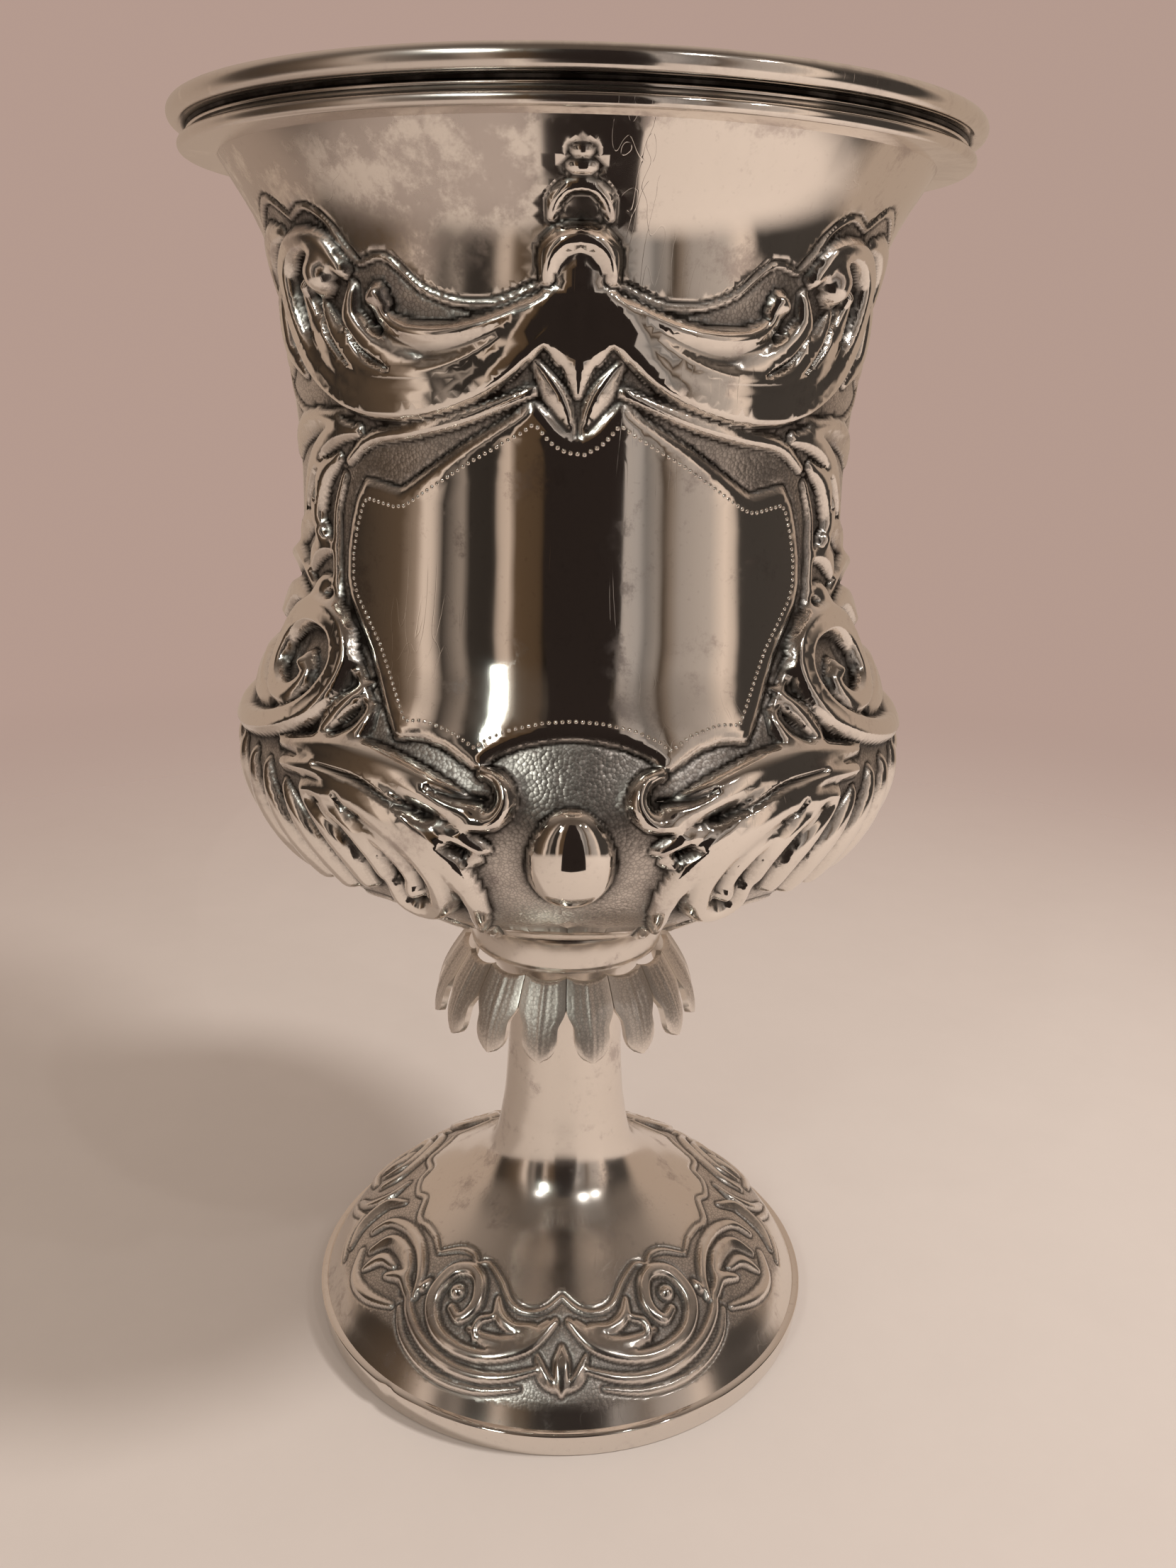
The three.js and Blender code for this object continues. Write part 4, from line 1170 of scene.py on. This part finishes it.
def tool_marks_group():
    """Height of the punched ground, the hammered undulation and the fine scratches."""
    tree, given, result = new_tree(
        "Tool marks",
        "ShaderNodeTree",
        {
            "Ground": ("NodeSocketFloat", 0.0),
            "Punch Pitch": ("NodeSocketFloat", 0.7),
            "Planishing": ("NodeSocketFloat", 0.3),
            "Scratches": ("NodeSocketFloat", 0.1),
        },
        {"Height": ("NodeSocketFloat",)},
    )
    spot = object_place(tree)
    punched = {"Vector": spot, "Scale": calc(tree, "DIVIDE", 1000, given["Punch Pitch"])}
    cells = node(tree, "ShaderNodeTexVoronoi", punched)
    dome = calc(tree, "SUBTRACT", 1, calc(tree, "POWER", cells.outputs["Distance"], 2))
    height = calc(tree, "MULTIPLY", dome, calc(tree, "MULTIPLY", given["Ground"], 0.35))
    waves = noise(tree, spot, 110, 1, 0.5)
    height = calc(tree, "ADD", height, calc(tree, "MULTIPLY", waves, given["Planishing"]))
    # Fine scratches: where a much stretched noise crosses its middle, and only in rubbed places
    rubbed = calc(tree, "SUBTRACT", noise(tree, spot, 70, 2, 0.5), 0.5)
    depth = calc(tree, "MULTIPLY", calc(tree, "MULTIPLY", rubbed, 5, clamp=True), given["Scratches"])
    for turn in ((0.1, 0.3, 0.0), (0.9, -0.2, 0.5)):
        stretch = {"Vector": spot, "Rotation": turn, "Scale": (600.0, 600.0, 9.0)}
        lines = noise(tree, node(tree, "ShaderNodeMapping", stretch).outputs[0], 1, 0, 0.5)
        off = calc(tree, "ABSOLUTE", calc(tree, "SUBTRACT", lines, 0.5))
        thin = calc(tree, "SUBTRACT", 1, calc(tree, "DIVIDE", off, 0.008, clamp=True))
        height = calc(tree, "SUBTRACT", height, calc(tree, "MULTIPLY", thin, depth))
    tree.links.new(height, result["Height"])
    return tree


# Depth of the tool marks in metres, where their height is 1
BUMP_REACH = 0.0001
Finish = namedtuple("Finish", "tarnish_share polish planishing scratches")
FINISHES = {
    "chased_cup_silver": Finish(0.6, 0.045, 0.3, 0.025),
    "chased_foot_silver": Finish(0.65, 0.16, 0.35, 0.04),
    "leaf_silver": Finish(0.2, 0.3, 0.6, 0.05),
    "rim_silver": Finish(0.3, 0.06, 0.15, 0.04),
    "stem_silver": Finish(0.65, 0.2, 0.3, 0.06),
}


def silver(name, look, finish):
    """A silver finish: aged colour, painted shade in the recesses and tool marks, with a piece's own recesses
    where it has them.
    """
    material = bpy.data.materials.new(name)
    material.use_nodes = True
    tree = material.node_tree
    tree.nodes.clear()
    aged_and_shaded = node(tree, "ShaderNodeGroup", node_tree=bpy.data.node_groups["Aged silver and painted shade"])
    marks = node(tree, "ShaderNodeGroup", node_tree=bpy.data.node_groups["Tool marks"])
    wanted = {
        "Silver": (*look.silver, 1),
        "Tarnish": (*look.tarnish, 1),
        "Oxide and Shade": (*look.oxide_and_shade, 1),
        "Punch Pitch": look.punch_pitch,
        "Tarnish Share": finish.tarnish_share,
        "Polish": finish.polish,
        "Planishing": finish.planishing,
        "Scratches": finish.scratches,
    }
    for share in ("Recess", "Ground"):
        wanted[share] = node(tree, "ShaderNodeAttribute", attribute_name=share.lower()).outputs["Fac"]
    for group in (aged_and_shaded, marks):
        for key, value in wanted.items():
            if key not in group.inputs:
                continue
            if isinstance(value, bpy.types.NodeSocket):
                tree.links.new(value, group.inputs[key])
            else:
                group.inputs[key].default_value = value
    bumps = {"Height": marks.outputs["Height"], "Distance": BUMP_REACH, "Strength": 1.0}
    bump = node(tree, "ShaderNodeBump", bumps)
    shader = node(
        tree,
        "ShaderNodeBsdfPrincipled",
        {
            "Base Color": aged_and_shaded.outputs["Color"],
            "Roughness": aged_and_shaded.outputs["Roughness"],
            "Metallic": 1.0,
            "Normal": bump.outputs["Normal"],
        },
    )
    out = node(tree, "ShaderNodeOutputMaterial")
    tree.links.new(shader.outputs[0], out.inputs["Surface"])


class GobletFinish(bpy.types.PropertyGroup):
    """Colours and marks of the silver."""

    silver: FloatVectorProperty(
        name="Silver", description="Colour of clean silver", subtype="COLOR", default=(0.87, 0.82, 0.76)
    )
    tarnish: FloatVectorProperty(
        name="Tarnish",
        description="Colour of the grey film under the rim",
        subtype="COLOR",
        default=(0.47, 0.41, 0.39),
    )
    # Colour of the oxide and of the painted shade in the recesses
    oxide_and_shade: FloatVectorProperty(
        name="Oxide and Shade",
        description="Colour left in the recesses",
        subtype="COLOR",
        default=(0.022, 0.017, 0.014),
    )
    punch_pitch: FloatProperty(
        name="Punch pitch",
        description="Spacing of the punched ground, in millimetres",
        default=0.42,
        min=0.2,
        max=2,
    )


class GobletWork(bpy.types.PropertyGroup):
    """Fineness of the chased skins, the ring of leaves and the shields' dots."""

    cup_tolerance: FloatProperty(
        name="Cup tolerance",
        description="Largest error of the cup's skin, in millimetres",
        default=0.045,
        min=0.001,
    )
    foot_tolerance: FloatProperty(
        name="Foot tolerance",
        description="Largest error of the foot's skin, in millimetres",
        default=0.012,
        min=0.001,
    )
    leaves: IntProperty(name="Leaves", description="Leaves in the ring round the stem", default=16, min=3)
    dot_pitch: FloatProperty(
        name="Dot pitch",
        description="Spacing of the shields' dots",
        default=0.00068,
        min=0.0002,
        unit="LENGTH",
    )
    dot_radius: FloatProperty(
        name="Dot radius",
        description="Radius of the shields' dots",
        default=0.00024,
        min=0.0001,
        unit="LENGTH",
    )


class GobletStage(bpy.types.PropertyGroup):
    """Camera, lights and floor."""

    camera_place: FloatVectorProperty(
        name="Camera",
        description="Place of the lens",
        subtype="TRANSLATION",
        default=(-0.00149, -0.16278, 0.12981),
    )
    camera_turn: FloatVectorProperty(
        name="Turn",
        description="Yaw, pitch and roll of the camera, in radians",
        default=(0.0247, 0.3175, 0.0207),
    )
    lens: FloatProperty(name="Lens", description="Focal length in millimetres on a 36 mm side", default=30.14)
    floor_colour: FloatVectorProperty(
        name="Floor", description="Colour of the floor", subtype="COLOR", default=(0.56, 0.51, 0.48)
    )
    room_strength: FloatProperty(
        name="Room", description="Brightness of the room's soft light", default=1.0, min=0
    )
    key_power: FloatProperty(
        name="Key light", description="Power of the main light", unit="POWER", default=2.3, min=0
    )


class GobletSettings(bpy.types.PropertyGroup):
    """All settings of the goblet."""

    finish: PointerProperty(type=GobletFinish)
    work: PointerProperty(type=GobletWork)
    stage: PointerProperty(type=GobletStage)


def settings():
    """The goblet's settings in the open scene."""
    return bpy.context.scene.goblet


class GOBLET_OT_finishes(bpy.types.Operator):
    """Mixes the silver finishes"""

    bl_idname = "goblet.finishes"
    bl_label = "Silver finishes"

    def execute(self, context):
        look = settings().finish
        aged_silver_and_shade_group()
        tool_marks_group()
        for name, finish in FINISHES.items():
            silver(name, look, finish)
        return {"FINISHED"}


class GOBLET_OT_cup(bpy.types.Operator):
    """Beats the cup's wall and chases its ornament"""

    bl_idname = "goblet.cup"
    bl_label = "Chased cup"

    def execute(self, context):
        mesh = cup_mesh(settings().work.cup_tolerance)
        place("chased_cup", mesh, bpy.data.materials["chased_cup_silver"], "chased_silver", "bowl")
        return {"FINISHED"}


class GOBLET_OT_shield_dots(bpy.types.Operator):
    """Punches the rows of dots inside the shields' edges"""

    bl_idname = "goblet.shield_dots"
    bl_label = "Shield dots"

    def execute(self, context):
        work = settings().work
        finish = bpy.data.materials["chased_cup_silver"]
        values = {"Pitch": work.dot_pitch, "Radius": work.dot_radius, "Finish": finish}
        mesh = run_nodes("shield_dots", shield_line_mesh(), dots_along_tree(), values)
        place("shield_dots", mesh, finish, "chased_silver")
        return {"FINISHED"}


class GOBLET_OT_foot(bpy.types.Operator):
    """Beats the domed foot and chases its ornament"""

    bl_idname = "goblet.foot"
    bl_label = "Chased foot"

    def execute(self, context):
        mesh = foot_mesh(settings().work.foot_tolerance)
        place("chased_foot", mesh, bpy.data.materials["chased_foot_silver"], "chased_silver", "foot")
        return {"FINISHED"}


class GOBLET_OT_turned_parts(bpy.types.Operator):
    """Turns the rim, the collar, the stem and the foot's band"""

    bl_idname = "goblet.turned_parts"
    bl_label = "Turned parts"

    def execute(self, context):
        rim, stem = bpy.data.materials["rim_silver"], bpy.data.materials["stem_silver"]
        place("turned_rim", rim_mesh(), rim, "bright_silver", "rim_moulding")
        place("turned_collar", collar_mesh(), stem, "bright_silver", "collar")
        place("turned_stem", stem_mesh(), stem, "bright_silver", "stem")
        place("turned_band", foot_band_mesh(), rim, "bright_silver", "foot_rim")
        return {"FINISHED"}


class GOBLET_OT_leaves(bpy.types.Operator):
    """Sets the ring of leaves round the top of the stem"""

    bl_idname = "goblet.leaves"
    bl_label = "Ring of leaves"

    def execute(self, context):
        count = settings().work.leaves
        finish = bpy.data.materials["leaf_silver"]
        values = {"Leaves": count, "First Turn": math.pi / count, "Finish": finish}
        mesh = run_nodes("leaf_ring", petal_mesh(), leaves_round_tree(), values)
        place("leaf_ring", mesh, finish, "chased_silver", "leaf_calyx")
        return {"FINISHED"}


# The room as the silver reflects it: (bearing in degrees from the front, to the right, grey, warmth)
ROOM_BANDS = (
    (-112, 0.45, 1.2), (-103, 0.03, 1.2), (-72, 0.1, 1.7), (-64, 0.3, 1.3), (-61, 0.7, 1),
    (-57, 0.65, 1), (-54, 0.3, 1), (-52, 0.04, 1), (-44, 0.3, 1), (-41, 0.035, 1), (-31, 0.03, 1),
    (-29, 0.5, 1.1), (-25, 0.6, 1.1), (-23, 0.1, 1.9), (-13, 0.08, 1.9), (-11, 0.01, 1), (17, 0.01, 1),
    (19, 0.45, 0.7), (25, 0.4, 0.6), (28, 0.2, 0.6), (33, 0.3, 0.8), (35, 0.06, 1.6), (38, 0.22, 1.2),
    (42, 0.36, 0.8), (55, 0.48, 0.8), (62, 0.8, 1), (66, 0.6, 1), (69, 0.05, 0.8), (100, 0.06, 0.9),
    (112, 0.45, 1.2),
)


def warm(grey, warmth):
    """A grey with a pinkish warmth, 0 for none and 1 for much."""
    return (grey, grey * (1 - 0.2 * warmth), grey * (1 - 0.34 * warmth), 1)


# The ceiling in what the silver reflects, over the camera and behind the goblet
CEILING_FRONT = warm(0.11, 1.2)
CEILING_BACK = warm(0.55, 1.0)
# What the camera sees behind the floor, and the even light that falls on the floor
BACKDROP = (0.46, 0.325, 0.275, 1)
SOFT_LIGHT = warm(0.66, 0.9)


def room(strength):
    """A plain pale room to the camera, with soft bands of light and shade in what the silver reflects."""
    world = bpy.data.worlds.new("soft_room")
    bpy.context.scene.world = world
    world.use_nodes = True
    tree = world.node_tree
    tree.nodes.clear()
    way = node(tree, "ShaderNodeTexCoord").outputs["Generated"]
    axes = node(tree, "ShaderNodeSeparateXYZ", {"Vector": way}).outputs
    bearing = calc(tree, "ARCTAN2", axes["X"], calc(tree, "MULTIPLY", axes["Y"], -1))
    share = calc(tree, "MULTIPLY_ADD", bearing, 0.5 / math.pi, 0.5)
    bands = node(tree, "ShaderNodeValToRGB", {"Fac": share})
    stops = bands.color_ramp.elements
    for where, grey, warmth in ROOM_BANDS:
        stop = stops.new(0.5 + where / 360)
        stop.color = warm(grey, warmth)
    stops.remove(stops[0])
    stops.remove(stops[-1])
    height = node(tree, "ShaderNodeMapRange", {"Value": axes["Z"], "From Min": 0.42, "From Max": 0.85})
    behind = node(tree, "ShaderNodeMapRange", {"Value": axes["Y"], "From Min": -0.2, "From Max": 0.7})
    overhead = mixed(tree, behind.outputs[0], CEILING_FRONT, CEILING_BACK)
    reflected = mixed(tree, height.outputs[0], bands.outputs[0], overhead)
    rays = node(tree, "ShaderNodeLightPath").outputs
    lit = mixed(tree, rays["Is Diffuse Ray"], reflected, SOFT_LIGHT)
    shown = mixed(tree, rays["Is Camera Ray"], lit, BACKDROP)
    background = node(tree, "ShaderNodeBackground", {"Color": shown, "Strength": strength})
    out = node(tree, "ShaderNodeOutputWorld")
    tree.links.new(background.outputs[0], out.inputs["Surface"])


# Lamps: place and aim in metres, size, share of the main light's power, colour, seen in the silver
Lamp = namedtuple("Lamp", "spot aim size share colour mirrored")
GLINT_SIZE, GLINT_COLOUR, GLINT_AIM = (0.014, 0.014), (1, 0.97, 0.93), (0, 0, 0.06)
LAMPS = {
    "key": Lamp((0.34, -0.1, 0.5), (0, 0, 0.05), (0.1, 0.1), 1, (1, 0.95, 0.9), False),
    "window": Lamp((-0.28, -0.52, 0.47), (0, 0, 0.09), (0.055, 0.17), 0.24, (0.93, 1, 0.93), True),
    "right glint": Lamp((0.2, -0.3, 0.46), GLINT_AIM, GLINT_SIZE, 0.065, GLINT_COLOUR, True),
    "far right glint": Lamp((0.3, -0.24, 0.42), GLINT_AIM, GLINT_SIZE, 0.045, GLINT_COLOUR, True),
    "left glint": Lamp((-0.22, -0.3, 0.42), GLINT_AIM, GLINT_SIZE, 0.033, GLINT_COLOUR, True),
}


def hang(name, lamp, power):
    """Hangs a lamp that faces its aim: round when it is as wide as it is high."""
    data = bpy.data.lights.new(name, "AREA")
    data.shape = "ELLIPSE" if lamp.size[0] == lamp.size[1] else "RECTANGLE"
    data.size, data.size_y = lamp.size
    data.energy = lamp.share * power
    data.color = lamp.colour
    light = bpy.data.objects.new(name, data)
    light.visible_glossy = lamp.mirrored
    bpy.context.scene.collection.objects.link(light)
    light.location = lamp.spot
    light.rotation_euler = (Vector(lamp.aim) - Vector(lamp.spot)).to_track_quat("-Z", "Y").to_euler()


def dark_card(camera_place):
    """A dark card leaning over the camera, seen only in the silver: a painted dark reflection with a faint
    glow of its own.
    """
    aside, half_width = 0.0105, 0.036
    low, high = (-0.116, 0.008), (-0.215, 0.3)
    left, right = camera_place[0] + aside - half_width, camera_place[0] + aside + half_width
    corners = [(left, *low), (right, *low), (right, *high), (left, *high)]
    mesh = bpy.data.meshes.new("dark_card")
    mesh.from_pydata(corners, [], [(3, 2, 1, 0)])
    material = bpy.data.materials.new("dark_card")
    material.use_nodes = True
    shader = material.node_tree.nodes["Principled BSDF"]
    shader.inputs["Base Color"].default_value = (0.008, 0.006, 0.006, 1)
    # A faint glow, painted light that tints the card's dark reflection brown
    shader.inputs["Emission Color"].default_value = (0.016, 0.012, 0.01, 1)
    shader.inputs["Emission Strength"].default_value = 1.0
    shader.inputs["Roughness"].default_value = 1.0
    shader.inputs["Specular IOR Level"].default_value = 0.0
    mesh.materials.append(material)
    card = bpy.data.objects.new("dark_card", mesh)
    bpy.context.scene.collection.objects.link(card)
    card.visible_camera = card.visible_diffuse = card.visible_shadow = False


def floor_mesh():
    """A wide round floor."""
    reach, sides = 3.0, 64
    turns = [2 * math.pi * i / sides for i in range(sides)]
    mesh = bpy.data.meshes.new("floor")
    points = [(reach * math.sin(turn), reach * math.cos(turn), 0) for turn in turns]
    mesh.from_pydata(points, [], [list(range(sides))[::-1]])
    return mesh


def floor_material(colour):
    """Pale, dull floor that fades into the room a little way off, a little farther in the silver."""
    fade_start, fade_end, mirrored_start, mirrored_end = 0.08, 0.4, 0.14, -0.05
    material = bpy.data.materials.new("pale_floor")
    material.use_nodes = True
    tree = material.node_tree
    shader = tree.nodes["Principled BSDF"]
    spot = object_place(tree)
    darker = tuple(0.93 * part for part in colour)
    shade = mixed(tree, noise(tree, spot, 60, 8, 0.7), (*darker, 1), (*colour, 1))
    away = node(tree, "ShaderNodeVectorMath", {0: spot}, operation="LENGTH").outputs["Value"]
    mirrored = node(tree, "ShaderNodeLightPath").outputs["Is Glossy Ray"]
    start = calc(tree, "MULTIPLY_ADD", mirrored, mirrored_start, fade_start)
    end = calc(tree, "MULTIPLY_ADD", mirrored, mirrored_end, fade_end)
    tree.links.new(shade, shader.inputs["Base Color"])
    tree.links.new(calc(tree, "SUBTRACT", 1, between(tree, away, start, end)), shader.inputs["Alpha"])
    shader.inputs["Roughness"].default_value = 0.75
    return material


def lay_floor(colour):
    """The floor under the goblet."""
    floor = bpy.data.objects.new("floor", floor_mesh())
    bpy.context.scene.collection.objects.link(floor)
    floor.data.materials.append(floor_material(colour))


def set_camera(place, turn, lens):
    """The camera at the photograph's place, turned by yaw, pitch and roll."""
    yaw, pitch, roll = turn
    ahead = Vector((math.sin(yaw) * math.cos(pitch), math.cos(yaw) * math.cos(pitch), -math.sin(pitch)))
    level = Vector((math.cos(yaw), -math.sin(yaw), 0))
    upright = level.cross(ahead)
    right = math.cos(roll) * level + math.sin(roll) * upright
    up = math.cos(roll) * upright - math.sin(roll) * level
    data = bpy.data.cameras.new("camera")
    data.lens = lens
    data.clip_start = 0.01
    camera = bpy.data.objects.new("camera", data)
    bpy.context.scene.collection.objects.link(camera)
    faced = Matrix((right, up, -ahead)).transposed().to_4x4()
    camera.matrix_world = Matrix.Translation(place) @ faced
    bpy.context.scene.camera = camera


class GOBLET_OT_stage(bpy.types.Operator):
    """Sets the camera, the soft lights and the pale floor"""

    bl_idname = "goblet.stage"
    bl_label = "Stage"

    def execute(self, context):
        stage = settings().stage
        set_camera(stage.camera_place, stage.camera_turn, stage.lens)
        room(stage.room_strength)
        for name, lamp in LAMPS.items():
            hang(name, lamp, stage.key_power)
        dark_card(stage.camera_place)
        lay_floor(stage.floor_colour)
        context.scene.view_settings.view_transform = "Standard"
        return {"FINISHED"}


class GOBLET_PT_panel(bpy.types.Panel):
    """The goblet's settings and makers"""

    bl_idname = "GOBLET_PT_panel"
    bl_label = "Chased silver goblet"
    bl_space_type = "VIEW_3D"
    bl_region_type = "UI"
    bl_category = "Goblet"

    def draw(self, context):
        for part in (settings().finish, settings().work, settings().stage):
            box = self.layout.box()
            for name in part.__annotations__:
                box.prop(part, name)
        for maker in MAKERS:
            self.layout.operator(maker.bl_idname)


MAKERS = (
    GOBLET_OT_stage,
    GOBLET_OT_finishes,
    GOBLET_OT_cup,
    GOBLET_OT_shield_dots,
    GOBLET_OT_turned_parts,
    GOBLET_OT_leaves,
    GOBLET_OT_foot,
)
CLASSES = (GobletFinish, GobletWork, GobletStage, GobletSettings, *MAKERS, GOBLET_PT_panel)


def register():
    for kind in CLASSES:
        bpy.utils.register_class(kind)
    bpy.types.Scene.goblet = PointerProperty(type=GobletSettings)


def unregister():
    del bpy.types.Scene.goblet
    for kind in reversed(CLASSES):
        bpy.utils.unregister_class(kind)


def main():
    register()
    bpy.ops.goblet.stage()
    bpy.ops.goblet.finishes()
    bpy.ops.goblet.cup()
    bpy.ops.goblet.shield_dots()
    bpy.ops.goblet.turned_parts()
    bpy.ops.goblet.leaves()
    bpy.ops.goblet.foot()


if __name__ == "__main__":
    main()
